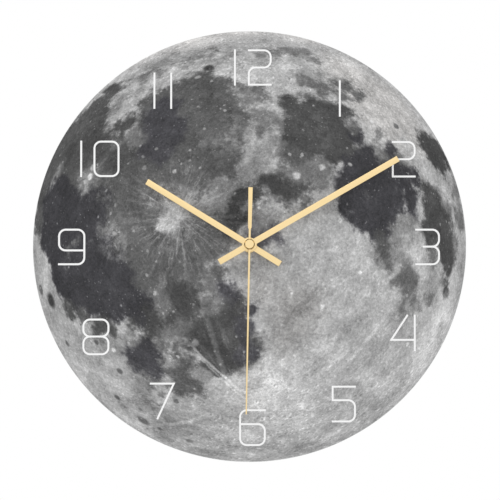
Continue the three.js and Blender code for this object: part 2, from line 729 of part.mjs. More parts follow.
// The negative contact rises beside the board's lower end.
function negativeContact() {
  const reach = boardFront + SEAT;
  const foot = boardBottom + BOARD_POST;
  const left = -(chamberHalf - SEAT);
  const arm = block(left, left + STRIP_WIDTH, foot - CONTACT_THICKNESS, foot, reach, stripFront);
  return join(contactPlate(-1), contactTab(-1, foot), arm);
}

// The positive contact runs along the partition to the board's lower end.
function positiveContact() {
  const right = chamberHalf - SEAT;
  const strip = block(boardCentre, right, stripBottom, stripTop, stripBack, stripFront);
  const reach = boardFront + SEAT;
  const riserRight = boardCentre + STRIP_WIDTH;
  const riserBack = stripFront - CONTACT_THICKNESS;
  const riser = block(boardCentre, riserRight, stripBottom, boardBottom, riserBack, stripFront);
  const top = boardBottom + CONTACT_THICKNESS;
  const finger = block(boardCentre, riserRight, boardBottom, top, reach, stripFront);
  return join(contactPlate(1), contactTab(1, stripTop), strip, riser, finger);
}

function contactSlot(side) {
  const outer = side * (chamberHalf + PAST);
  const inner = side * (chamberHalf - 2 * SEAT - CONTACT_THICKNESS);
  const left = Math.min(outer, inner);
  const right = Math.max(outer, inner);
  return block(left, right, bayTop - PAST, chamberBottom + PAST, stripBack - SEAT, frontInside);
}

// Case: the front half is a tray with a partition, the back half a cover over the wheels

const catchBack = (BACK_WALL - CATCH_THICKNESS) / 2;
const catchMiddle = (chamberTop + chamberBottom) / 2;

function catchBlock(side, slack) {
  const inner = side * (chamberHalf - SLIP - PAST);
  const outer = side * (chamberHalf - SLIP + CATCH_DEPTH + slack);
  const half = CATCH_LENGTH / 2 + slack;
  const left = Math.min(inner, outer);
  const right = Math.max(inner, outer);
  const back = catchBack - slack;
  const front = catchBack + CATCH_THICKNESS + slack;
  return block(left, right, catchMiddle - half, catchMiddle + half, back, front);
}

function bearing(at, back, bore) {
  return tube(PIVOT_BOSS, bore + RUN, back, frontInside + SEAT, at);
}

function cornerPosts() {
  const back = BACK_WALL + SEAT;
  const posts = [];
  for (const side of [-1, 1]) {
    const left = Math.min(side * chamberHalf, side * (chamberHalf - POST_SIDE));
    const right = left + POST_SIDE;
    posts.push(block(left, right, chamberTop - POST_SIDE, chamberTop, back, frontInside));
  }
  return posts;
}

function pegHoles() {
  return [-1, 1].map((side) => peg(side, PEG_RADIUS + SEAT, chamberTop - PAST, caseTop + PAST));
}

function movementCase() {
  const shell = roundedBlock(-caseHalf, caseHalf, caseBottom, caseTop, CASE_CORNER, 0, caseFront);
  const hollow = cut(
    shell,
    block(-chamberHalf, chamberHalf, chamberBottom, chamberTop, -PAST, frontInside),
    block(-chamberHalf, chamberHalf, bayBottom, bayTop, -PAST, frontInside),
    rod(spigotRadius + SEAT, frontInside - PAST, caseFront + PAST, centre, ROUND_FACETS),
    contactSlot(-1),
    contactSlot(1),
    catchBlock(-1, SEAT),
    catchBlock(1, SEAT),
    ...pegHoles(),
  );
  const boardSeats = boardPosts.map((at) => rod(BOARD_POST, boardFront + SEAT, frontInside, at));
  const coreEnds = [rotor.x - STATOR_HALF_LENGTH, rotor.x + STATOR_HALF_LENGTH - STATOR_ARM];
  const coreSeats = coreEnds.map((left) => {
    return block(left, left + STATOR_ARM, coreBottom, coreTop, coreFront + SEAT, frontInside);
  });
  return join(
    hollow,
    ...cornerPosts(),
    ...boardSeats,
    ...coreSeats,
    bearing(third, layerEnd(CENTRE_LAYER) + END_PLAY, ARBOR),
    bearing(intermediate, layerEnd(CENTRE_LAYER) + END_PLAY, ARBOR),
    bearing(rotor, magnetBack + MAGNET_LENGTH + END_PLAY, ARBOR),
    bearing(setting, layerEnd(MOTION_LAYER) + END_PLAY, STEM_PIVOT),
    rod(MOTION_STUD, layerStart(MOTION_LAYER), frontInside + SEAT, motion),
  );
}

// A blind bearing on the back cover, which leaves the cover's outer face whole.
function rearBearing(at, front) {
  return rod(PIVOT_BOSS, BACK_WALL - SEAT, front, at);
}

function rearBore(at, radius, front) {
  return rod(radius + RUN, PIVOT_FLOOR, front + PAST, at);
}

function backCover() {
  const right = chamberHalf - SLIP;
  const plate = block(-right, right, chamberBottom + SLIP, chamberTop - SLIP, 0, BACK_WALL);
  const bearings = [
    [centre, SECOND_ARBOR, layerStart(SECONDS_LAYER) - END_PLAY],
    [third, ARBOR, layerStart(SECONDS_LAYER) - END_PLAY],
    [intermediate, ARBOR, layerStart(ROTOR_LAYER) - END_PLAY],
    [rotor, ARBOR, layerStart(ROTOR_LAYER) - END_PLAY],
  ];
  const armPosts = [rotor.x - STATOR_HALF_LENGTH, rotor.x + STATOR_HALF_LENGTH - STATOR_ARM].map((left) => {
    return block(left, left + STATOR_ARM, coreBottom, coreTop, BACK_WALL - SEAT, statorBack - SEAT);
  });
  const boardBars = boardPosts.map((at) => rod(BOARD_POST, BACK_WALL - SEAT, boardBack - SEAT, at));
  const solid = join(
    plate,
    catchBlock(-1, 0),
    catchBlock(1, 0),
    ...bearings.map(([at, , front]) => rearBearing(at, front)),
    ...armPosts,
    ...boardBars,
    rod(wellRadius + WELL_WALL, 0, wellFloorFront, setting, ROUND_FACETS),
  );
  return cut(
    solid,
    ...bearings.map(([at, radius, front]) => rearBore(at, radius, front)),
    rod(wellRadius, -PAST, wellFloorBack, setting, ROUND_FACETS),
    rod(STEM + RUN, wellFloorBack - PAST, wellFloorFront + PAST, setting),
  );
}

// Hanger: a loop on a foot, held by two pegs in the case's top wall

const hangerBack = END_PLAY;
const footBottom = caseTop + SEAT;
const footTop = footBottom + HANGER_FOOT;
const loopBottom = footTop;
const loopTop = loopBottom + LOOP_HEIGHT;
const pegDepth = BACK_WALL + SLIP + PEG_RADIUS;

function peg(side, radius, bottom, top) {
  const geometry = new THREE.CylinderGeometry(radius, radius, top - bottom, SMALL_FACETS);
  return geometry.translate((side * PEG_SPACING) / 2, (bottom + top) / 2, pegDepth);
}

function hanger() {
  const half = HANGER_WIDTH / 2;
  const front = hangerBack + HANGER_THICKNESS;
  const top = loopTop + HANGER_BAR;
  const plate = roundedBlock(-half, half, footBottom, top, HANGER_CORNER, hangerBack, front);
  const foot = block(-half, half, footBottom, footTop, hangerBack, hangerBack + HANGER_FOOT_DEPTH);
  const pegs = [-1, 1].map((side) => peg(side, PEG_RADIUS, chamberTop - PEG_PROUD, footTop));
  const opening = polygon([
    [-LOOP_BOTTOM_WIDTH / 2, loopBottom],
    [LOOP_BOTTOM_WIDTH / 2, loopBottom],
    [LOOP_TOP_WIDTH / 2, loopTop],
    [-LOOP_TOP_WIDTH / 2, loopTop],
  ]);
  return join(cut(plate, prism(opening, hangerBack - PAST, front + PAST)), foot, ...pegs);
}

// Assembly: one group for each unit of the clock, then the whole turned upright

function unit(...pieces) {
  const group = new THREE.Group();
  group.add(...pieces);
  return group;
}

function piece(name, geometry, finish, clockAngle = 0) {
  const mesh = new THREE.Mesh(geometry, finish);
  mesh.name = name;
  mesh.rotation.z = -radians(clockAngle);
  return mesh;
}

const dial = unit(
  piece("dial_plate", dialPlate(), acrylic),
  piece("threaded_bush", threadedBush(), brass),
  piece("rubber_gasket", rubberGasket(), rubber),
  piece("dial_washer", dialWasher(), brass),
  piece("hex_nut", hexNut(), brass),
);

const hands = unit(
  piece("hour_hand", barHand(HOUR_HAND, hourTubeRadius, hourHandBack), gold, HOUR_HAND.angle),
  piece("minute_hand", barHand(MINUTE_HAND, minutePipeRadius, minuteHandBack), gold, MINUTE_HAND.angle),
  piece("second_hand", secondHand(), gold, SECOND_ANGLE),
  piece("second_hand_cap", secondHandCap(), gold),
);

const housing = unit(
  piece("movement_case", movementCase(), blackPlastic),
  piece("back_cover", backCover(), blackPlastic),
  piece("wall_hanger", hanger(), blackPlastic),
  piece("setting_knob", settingKnob(), blackPlastic),
  piece("setting_stem", settingStem(), whitePlastic),
);

const train = unit(
  piece("rotor_pinion", rotorPinion(), whitePlastic),
  piece("rotor_magnet", rotorMagnet(), ferrite),
  piece("intermediate_wheel", intermediateWheel(), whitePlastic),
  piece("seconds_wheel", secondsWheel(), whitePlastic),
  piece("third_wheel", thirdWheel(), whitePlastic),
  piece("centre_wheel", centreWheel(), whitePlastic),
  piece("clutch_spring", clutchSpring(), steel),
  piece("minute_pipe", minutePipe(), brass),
  piece("motion_wheel", motionWheel(), whitePlastic),
  piece("hour_wheel", hourWheel(), whitePlastic),
);

const motor = unit(
  piece("stator", stator(), iron),
  piece("coil_core", coilCore(), iron),
  piece("coil_bobbin", coilBobbin(), whitePlastic),
  piece("coil_winding", coilWinding(), copper),
  piece("circuit_board", circuitBoard(), boardGreen),
  piece("quartz_crystal", quartzCrystal(), steel),
  piece("driver_chip", driverChip(), rubber),
);

const supply = unit(
  piece("dry_cell", drycell(), cellJacket),
  piece("positive_contact", positiveContact(), steel),
  piece("negative_contact", negativeContact(), steel),
);

const clock = unit(dial, hands, housing, train, motor, supply);
clock.rotation.x = Math.PI / 2;

const part = unit(clock);

export default part;
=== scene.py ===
"""The looks of a frameless round wall clock: a Moon print on an acrylic disc, white numerals, pale gold
hands and a black quartz movement behind. Sizes are in metres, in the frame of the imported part, where the
dial faces -Y."""

import json
import math

import bmesh
import bpy
from mathutils import Matrix, Vector


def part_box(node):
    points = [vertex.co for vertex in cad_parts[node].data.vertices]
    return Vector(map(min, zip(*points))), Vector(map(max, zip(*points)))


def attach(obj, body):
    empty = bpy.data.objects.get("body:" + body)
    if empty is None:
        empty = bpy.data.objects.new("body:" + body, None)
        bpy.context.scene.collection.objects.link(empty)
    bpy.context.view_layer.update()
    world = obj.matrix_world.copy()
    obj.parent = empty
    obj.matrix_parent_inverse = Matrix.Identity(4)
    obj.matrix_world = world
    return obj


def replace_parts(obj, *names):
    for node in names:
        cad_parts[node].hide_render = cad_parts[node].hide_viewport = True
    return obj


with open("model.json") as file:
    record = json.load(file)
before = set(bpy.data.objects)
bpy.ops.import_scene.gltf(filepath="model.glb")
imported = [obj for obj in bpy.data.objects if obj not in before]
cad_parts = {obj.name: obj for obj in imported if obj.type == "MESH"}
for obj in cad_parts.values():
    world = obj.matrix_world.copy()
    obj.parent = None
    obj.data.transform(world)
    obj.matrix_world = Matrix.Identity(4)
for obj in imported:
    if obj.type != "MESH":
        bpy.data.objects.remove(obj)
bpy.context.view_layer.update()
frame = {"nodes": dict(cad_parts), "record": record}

MM = 0.001
NODES = frame["nodes"]
BODY_OF = {node: body for body, nodes in frame["record"]["behaviour"]["bodies"].items() for node in nodes}
SLOT_OF = {row["node"]: row["material_slot"] for row in frame["record"]["subparts"]}


def shares_of(size, shares):
    return [size * share for share in shares]


def bore_of(node):
    """The radius of the bore that a CAD piece has round the hands' axis."""
    return min(math.hypot(v.co.x, v.co.z) for v in NODES[node].data.vertices)


# Meshes
WELD = 1e-6  # points closer than this are one point
SLIVER = 3e-6  # the same, after a cut
PAST = 0.2 * MM  # how far a cutting tool runs past the face that it cuts
FLAT = 0.5  # degrees between two faces that are made one
SHARP = 35  # degrees between two faces from which their edge is sharp
ROUND_SEGMENTS = 96
EDGE_STEPS = 4
BEVEL_STEPS = 2
MITRE = 0.2  # least cosine at a corner, which keeps its mitre short
CASE_EDGE = 0.25 * MM  # widths of the rounded edges
KNOB_EDGE = 0.15 * MM
HAND_EDGE = 0.1 * MM
SMALL_EDGE = 0.08 * MM

# Dial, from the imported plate
dial_low, dial_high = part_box("dial_plate")
DIAL_RADIUS = dial_high.x
DIAL_FRONT = dial_low.y
DIAL_BACK = dial_high.y
DIAL_BORE = bore_of("dial_plate")
DIAL_SEGMENTS = 360
FRONT_EDGE = 0.15 * MM
BACK_EDGE = 0.4 * MM
FILM = 0.1 * MM  # thickness of the printed film
PRINT_MAP = (0.5, 0.49)  # middle and half size of the printed face in its flat map
HIDDEN_MAP = (0.06, 0.05)  # the same for the film's other faces

# Numerals: white ink in strokes of one width, measured along the middle of each stroke
INK = 0.12 * MM
STROKE = 1.32 * MM
DIGIT_HEIGHT = 24.1 * MM
DIGIT_CORNER = 4.6 * MM
CORNER_STEPS = 10

# Cap of the second hand
CAP_EDGE = 0.7 * MM
CAP_SLOPE = 1.6  # how much deeper than wide the edge is
CAP_DOME = 0.08 * MM
CAP_WALL = 0.7 * MM
CAP_STEPS = 6
CAP_SHARP = 25  # as SHARP, for its steep edge

# Dial fastening
NUT_CHAMFER = 30  # degrees
NUT_FACE = 0.96  # radius of the turned faces, as a share of the nut's flats
THREAD_PITCH = 0.75 * MM
THREAD_DEPTH = 0.3 * MM
THREAD_PLAY = 0.1 * MM  # between the nut's bore and the thread's crests
THREAD_FLAT = 0.04 * MM  # height that is missing at each crest

# Dry cell and coil
cell_low, cell_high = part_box("dry_cell")
CELL_RADIUS = (cell_high.z - cell_low.z) / 2
CELL_LEFT, CELL_RIGHT = cell_low.x, cell_high.x
CELL_BUTTON = 2.7 * MM
CELL_SHOULDER = CELL_RIGHT - 1.2 * MM
CELL_FILM = 0.12 * MM
CELL_CORNER = 0.6 * MM
CELL_STEP = 0.3 * MM  # height of the steps pressed into both ends
CAN_LEFT = CELL_LEFT + CELL_STEP
CAN_RIGHT = CELL_SHOULDER - CELL_STEP
CAN_FLAT = CELL_RADIUS - CELL_FILM - CELL_CORNER  # radius of its flat ends
BASE_SHARES = (0.68, 0.74)  # radii of the base's step, as shares of the flat end
CRIMP_SHARES = (0.84, 0.8)  # the same for the crimp
SEAL_SHARE = 0.79  # the same for the seal's outside
SEAL_BACK = 0.6 * MM  # depths of the seal's faces below the shoulder
SEAL_FRONT = 0.15 * MM
SEAL_GAP = 0.5 * MM  # between the button and the seal
SEAL_EDGE = 0.1 * MM
SLEEVE_LIP = 0.7 * MM  # how far the film curls in over the ends
SLEEVE_BAND = 13 * MM  # middle of the pale band, from the positive end
SLEEVE_BAND_HALF = 2.5 * MM
SLEEVE_SIGN = 6 * MM  # middle of the plus sign
SIGN_BAR = 0.4 * MM  # half its stroke
SIGN_BLUR = 0.05 * MM  # of printed edges
COIL_WIRE = 0.3 * MM
COIL_SEGMENTS = 48
WIRE_PROFILE = ((0.2, 0.8), (0.5, 1.0), (0.8, 0.8), (1.0, 0.0))  # shares along and up each turn

# Marks on the back cover
MARK_DEPTH = 0.25 * MM
MARK_DEEPER = 1.01  # between two tools that cross, so that no faces of theirs lie together
MARK_STROKE = 0.7 * MM
ARROW_LENGTH = 2.2 * MM
ARROW_HALF = 1.1 * MM
ARROW_AWAY = 3.2 * MM  # from the knob's edge
ARROWS = ((80, 32), (100, 148))  # start and end of each, in degrees from three o'clock towards twelve
ARC_STEPS = 24
SIGN_SIZE = 3.4 * MM
SIGN_AWAY = 3.6 * MM  # from the cover's edges
PANEL_AWAY = 5 * MM
PANEL_HEIGHT = 12 * MM
PANEL_DEPTH = 0.35 * MM
PANEL_CORNER = 2 * MM
KNOB_DISH = 0.66  # radius of the dished face, as a share of the knob's
KNOB_DISH_DEPTH = 0.6 * MM
KNOB_DISH_SLOPE = 0.15  # share by which it is wider that far above its edge, and narrower below
KNOB_SEGMENTS = 64

# Camera and light
CAMERA_DISTANCE = 4.0
CAMERA_DROP = 6.2  # degrees that it stands below the dial's axis
VIEW_WIDTH = 0.3463  # of the dial's plane, across the picture
VIEW_CENTRE = (0.00035, -0.00306)
SENSOR = 36.0
FLOOR_DROP = 1.35
FLOOR_RADIUS = 3.0
FLOOR_THICKNESS = 0.01
KEY_PLACE = (-1.9, -1.3, 1.9)
KEY_SIZE = 2.2
KEY_POWER = 26.0
WORLD_LEVEL = 0.85


# Making pieces


def make_object(name, data):
    obj = bpy.data.objects.new(name, data)
    bpy.context.scene.collection.objects.link(obj)
    return obj


def finished_mesh(work, name, smooth=True):
    """Turns the working mesh into a finished one, with its faces turned outward."""
    bmesh.ops.remove_doubles(work, verts=work.verts, dist=WELD)
    bmesh.ops.recalc_face_normals(work, faces=work.faces)
    for face in work.faces:
        face.smooth = smooth
    mesh = bpy.data.meshes.new(name)
    work.to_mesh(mesh)
    work.free()
    return mesh


def about_dial(radius, angle, along):
    """A point round the hands' axis."""
    return Vector((radius * math.sin(angle), along, radius * math.cos(angle)))


def lofted(name, sections, ring, smooth=True):
    """A closed skin over sections of points, which join up to a ring or end in two flat caps."""
    work = bmesh.new()
    rows = [[work.verts.new(point) for point in section] for section in sections]
    for here, there in zip(rows, rows[1:] + rows[:1] if ring else rows[1:]):
        for corner in range(len(here)):
            after = (corner + 1) % len(here)
            work.faces.new((here[corner], here[after], there[after], there[corner]))
    if ring:
        bmesh.ops.dissolve_degenerate(work, edges=work.edges, dist=WELD)
    else:
        work.faces.new(rows[0])
        work.faces.new(rows[-1])
    return make_object(name, finished_mesh(work, name, smooth))


def turned(name, loop, place=about_dial, segments=ROUND_SEGMENTS):
    """A body of revolution from a closed loop of points, each a radius and a place along the axis."""
    angles = [2 * math.pi * step / segments for step in range(segments)]
    return lofted(name, [[place(radius, angle, along) for radius, along in loop] for angle in angles], True)


def rounded(centre, radius, start):
    """A quarter circle of loop points about a centre, from the start angle in degrees."""
    angles = [math.radians(start + 90 * step / EDGE_STEPS) for step in range(EDGE_STEPS + 1)]
    return [(centre[0] + radius * math.cos(a), centre[1] + radius * math.sin(a)) for a in angles]


def smooth_by_angle(obj, degrees=SHARP):
    """Smooth faces with sharp edges where two faces meet at more than the angle."""
    mesh = obj.data
    mesh.shade_smooth()
    mesh.set_sharp_from_angle(angle=math.radians(degrees))


def bake(obj):
    """Applies the object's modifiers to its mesh."""
    bpy.context.view_layer.update()
    shape = obj.evaluated_get(bpy.context.evaluated_depsgraph_get())
    mesh = bpy.data.meshes.new_from_object(shape)
    obj.modifiers.clear()
    old = obj.data
    obj.data = mesh
    bpy.data.meshes.remove(old)


def weld(obj):
    """Joins points that a cut left almost together."""
    work = bmesh.new()
    work.from_mesh(obj.data)
    bmesh.ops.remove_doubles(work, verts=work.verts, dist=SLIVER)
    bmesh.ops.dissolve_degenerate(work, edges=work.edges, dist=SLIVER)
    work.to_mesh(obj.data)
    work.free()


def combine(obj, others, operation):
    """Joins the other objects to this one, or cuts them from it, and removes them."""
    for other in others:
        step = obj.modifiers.new(operation, "BOOLEAN")
        step.operation = operation
        step.solver = "EXACT"
        step.object = other
    bake(obj)
    for other in others:
        bpy.data.objects.remove(other)
    weld(obj)


def round_edges(obj, width):
    bevel = obj.modifiers.new("rounded edges", "BEVEL")
    bevel.width = width
    bevel.segments = BEVEL_STEPS
    bevel.limit_method = "ANGLE"
    bevel.angle_limit = math.radians(SHARP)
    bevel.harden_normals = True
    return obj


def wear(piece, material):
    piece.data.materials.clear()
    piece.data.materials.append(material)
    return piece


def added(piece, body, material):
    """A piece that the CAD doesn't have, which rides on a body."""
    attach(piece, body)
    return wear(piece, material)


def stand_for(piece, node, material=None):
    """A piece in place of a CAD piece, in the given material or the finish of the CAD piece's slot."""
    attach(piece, BODY_OF[node])
    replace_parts(piece, node)
    wear(piece, FINISHES[SLOT_OF[node]] if material is None else material)


def copied(node):
    """A copy of a CAD piece with its flat faces made whole."""
    work = bmesh.new()
    work.from_mesh(NODES[node].data)
    bmesh.ops.remove_doubles(work, verts=work.verts, dist=WELD)
    bmesh.ops.dissolve_limit(work, angle_limit=math.radians(FLAT), verts=work.verts, edges=work.edges)
    return make_object(node + "_finished", finished_mesh(work, node + "_finished"))


def soften(node, width, material=None):
    """A copy of a CAD piece with its edges rounded, which stands for it."""
    stand_for(round_edges(copied(node), width), node, material)


def carved(piece, tools, operation="DIFFERENCE"):
    """The piece with the tools cut from it, and its shading set again so that its flat faces stay flat."""
    combine(piece, tools, operation)
    smooth_by_angle(piece)
    even = piece.modifiers.new("even shading", "WEIGHTED_NORMAL")
    even.keep_sharp = True
    return piece


def prism(name, outline, back, front):
    """A flat plate between two depths, with the outline's corners given as x and z."""
    sections = [[(x, depth, z) for x, z in outline] for depth in (back, front)]
    return lofted(name, sections, False, smooth=False)


# Strokes: a band of even width along a path in the dial's plane


def filleted(points, closed):
    """The path with an arc at each corner that has a radius. Each point is x, z and radius."""
    path = []
    count = len(points)
    for index, (x, z, radius) in enumerate(points):
        here = Vector((x, z))
        inner = closed or 0 < index < count - 1
        if not radius or not inner:
            path.append(here)
            continue
        before = (Vector(points[index - 1][:2]) - here).normalized()
        after = (Vector(points[(index + 1) % count][:2]) - here).normalized()
        half = before.angle(after) / 2
        start = here + before * radius / math.tan(half)
        middle = here + (before + after).normalized() * radius / math.sin(half)
        turn = (start - middle).angle_signed(here + after * radius / math.tan(half) - middle)
        for step in range(CORNER_STEPS + 1):
            spoke = start - middle
            spoke.rotate(Matrix.Rotation(-turn * step / CORNER_STEPS, 2))
            path.append(middle + spoke)
    return path


def band(name, points, width, back, front, closed=False):
    """A closed solid that follows the path with mitred corners, between two depths."""
    path = filleted(points, closed)
    count = len(path)
    sections = []
    for index, here in enumerate(path):
        before = path[index - 1] if closed or index else None
        after = path[(index + 1) % count] if closed or index < count - 1 else None
        arrive = (here - before).normalized() if before else (after - here).normalized()
        leave = (after - here).normalized() if after else arrive
        along = (arrive + leave).normalized()
        across = Vector((-along.y, along.x)) * width / 2 / max(along.dot(arrive), MITRE)
        sides = [here + across, here - across]
        corners = [(sides[0], front), (sides[1], front), (sides[1], back), (sides[0], back)]
        sections.append([(flat.x, depth, flat.y) for flat, depth in corners])
    return lofted(name, sections, closed, smooth=False)


# Nodes


class Nodes:
    """A node tree, with one short call for each kind of node that is used here."""

    def __init__(self, tree):
        self.nodes = tree.nodes
        self.links = tree.links

    def feed(self, socket, value):
        if isinstance(value, bpy.types.NodeSocket):
            self.links.new(value, socket)
        elif socket.type == "RGBA" and len(value) == 3:
            socket.default_value = (*value, 1)
        else:
            socket.default_value = value

    def add(self, kind, inputs, **settings):
        node = self.nodes.new("ShaderNode" + kind)
        for name, value in settings.items():
            setattr(node, name, value)
        for key, value in inputs.items():
            self.feed(node.inputs[key], value)
        return node

    def place(self):
        """The point's place in the piece's own frame."""
        return self.add("TexCoord", {}).outputs["Object"]

    def math(self, operation, *values):
        return self.add("Math", dict(enumerate(values)), operation=operation).outputs[0]

    def vector(self, operation, *values):
        return self.add("VectorMath", dict(enumerate(values)), operation=operation).outputs["Vector"]

    def scaled(self, vector, scale):
        return self.add("VectorMath", {0: vector, "Scale": scale}, operation="SCALE").outputs["Vector"]

    def measure(self, operation, *values):
        """A vector operation that gives a number."""
        return self.add("VectorMath", dict(enumerate(values)), operation=operation).outputs["Value"]

    def parts(self, vector):
        return self.add("SeparateXYZ", {0: vector}).outputs

    def joined(self, *values):
        return self.add("CombineXYZ", dict(enumerate(values))).outputs[0]

    def ramp(self, value, start, end, low=0.0, high=1.0):
        """Goes smoothly from low to high while the value goes from start to end."""
        inputs = {"Value": value, "From Min": start, "From Max": end, "To Min": low, "To Max": high}
        return self.add("MapRange", inputs, interpolation_type="SMOOTHSTEP").outputs[0]

    def mix_colour(self, factor, start, end):
        return self.add("Mix", {0: factor, 6: start, 7: end}, data_type="RGBA").outputs[2]

    def noise(self, place, scale, detail=2.0, roughness=0.5, output="Fac"):
        inputs = {"Vector": place, "Scale": scale, "Detail": detail, "Roughness": roughness}
        return self.add("TexNoise", inputs).outputs[output]

    def cells(self, place, scale):
        return self.add("TexVoronoi", {"Vector": place, "Scale": scale}).outputs


class Finish(Nodes):
    """A material's nodes, which feed its shader."""

    def __init__(self, name, **sockets):
        self.material = bpy.data.materials.new(name)
        self.material.use_nodes = True
        super().__init__(self.material.node_tree)
        self.shader = self.nodes["Principled BSDF"]
        for socket, value in sockets.items():
            self.set(socket.replace("_", " "), value)

    def set(self, socket, value):
        titles = {name.lower(): name for name in self.shader.inputs.keys()}
        self.feed(self.shader.inputs[titles[socket.lower()]], value)

    def paint(self, share, start, end):
        self.set("Base Color", self.mix_colour(share, start, end))

    def bump(self, height, distance, strength):
        inputs = {"Height": height, "Distance": distance, "Strength": strength}
        self.set("Normal", self.add("Bump", inputs).outputs[0])


# The Moon on the dial

# How the print shows it: the middle of the disc, its tilt, and how the sphere is flattened on the disc
MOON_LATITUDE, MOON_LONGITUDE, MOON_ROLL = 0.02, -4.81, 9.42
MOON_SCALE = 1.154
MOON_BULGE = (0.104, 0.0324, 0.0135)

# Greys are given as they are seen, from 0 to 1, and may have a tint
PRINT_GAMMA = 2.2
COOL = (0.99, 0.985, 1.035)
PLAIN = (1.0, 1.0, 1.0)
WARM = (1.005, 0.997, 0.99)
HIGHLAND = 0.69

# Every patch has a grey, circles of latitude, longitude east and radius in degrees, and a tint if it isn't
# plain. Circles that are this near run together:
CIRCLE_BLEND = 0.03

# Wide and soft changes of the uplands' grey:
UPLANDS_SHORE = 0.1
UPLANDS = {
    "south": (0.80, [(-36, -5, 9), (-43, 0, 8), (-37, -14, 5)]),
    "north": (0.80, [(72, -20, 8), (68, -60, 8), (74, 20, 8), (64, 50, 7)], WARM),
    "north east": (0.77, [(30, 46, 12), (42, 44, 8), (22, 50, 6)], WARM),
    "middle": (0.64, [(-16, 4, 6), (-23, 3, 4.5), (-11, -3, 4)], WARM),
    "north middle": (0.79, [(44, 10, 5), (45, 18, 4), (44, 2.5, 3)]),
    "south of the middle": (0.76, [(-15, 24, 5), (-20, 28, 4.5), (-28, 8, 4)]),
    "middle north": (0.72, [(-2, 14, 7), (-10, 20, 6), (4, 10, 5)]),
    "south west": (0.68, [(-20, -64, 7), (-26, -62, 6)]),
    "west": (0.64, [(0, -74, 5), (-8, -66, 4)]),
    "far south west": (0.52, [
        (-20, -46, 4), (-29, -44, 5), (-40, -47, 5), (-44, -43, 6), (-50, -48, 6),
    ]),
    "south east": (0.84, [(-28, 56, 6), (-36, 52, 6)]),
    "far south": (0.64, [(-72, 0, 12), (-64, 34, 9), (-58, -36, 8), (-50, -27, 4), (-54, -52, 5)]),
    "east": (0.67, [(8, 76, 6), (-2, 74, 5)]),
}

# Dark ground under and between the seas, with loose edges:
BASINS_SHORE = 0.04
BASINS = {
    "west": (0.42, [
        (22, -32, 14), (30, -55, 11), (6, -46, 15), (-4, -30, 11), (33, -16, 15), (4, -14, 7),
        (16, -62, 11),
    ]),
    "south west": (0.42, [(-18, -17, 9), (-12, -27, 9), (-24, -13, 7), (-24, -38, 6), (-31, -29, 4)]),
    "east": (0.42, [(10, 31, 8), (4, 29, 7), (13, 38, 6), (0, 51, 6), (-8, 55, 4.5), (16, 27, 5)]),
    "north": (0.6, [(56, 0, 4), (58, -14, 4), (57, -28, 4), (54, 16, 4), (53, 30, 4), (42, 26, 4)]),
    "middle": (0.48, [(12, 5, 5), (4, -2, 4), (9, -7, 6), (17, 13, 4), (20, 12, 3)]),
    "nectar": (0.56, [(-15, 36.5, 4.5), (-7, 28.5, 3), (-20, 37, 3)]),
}

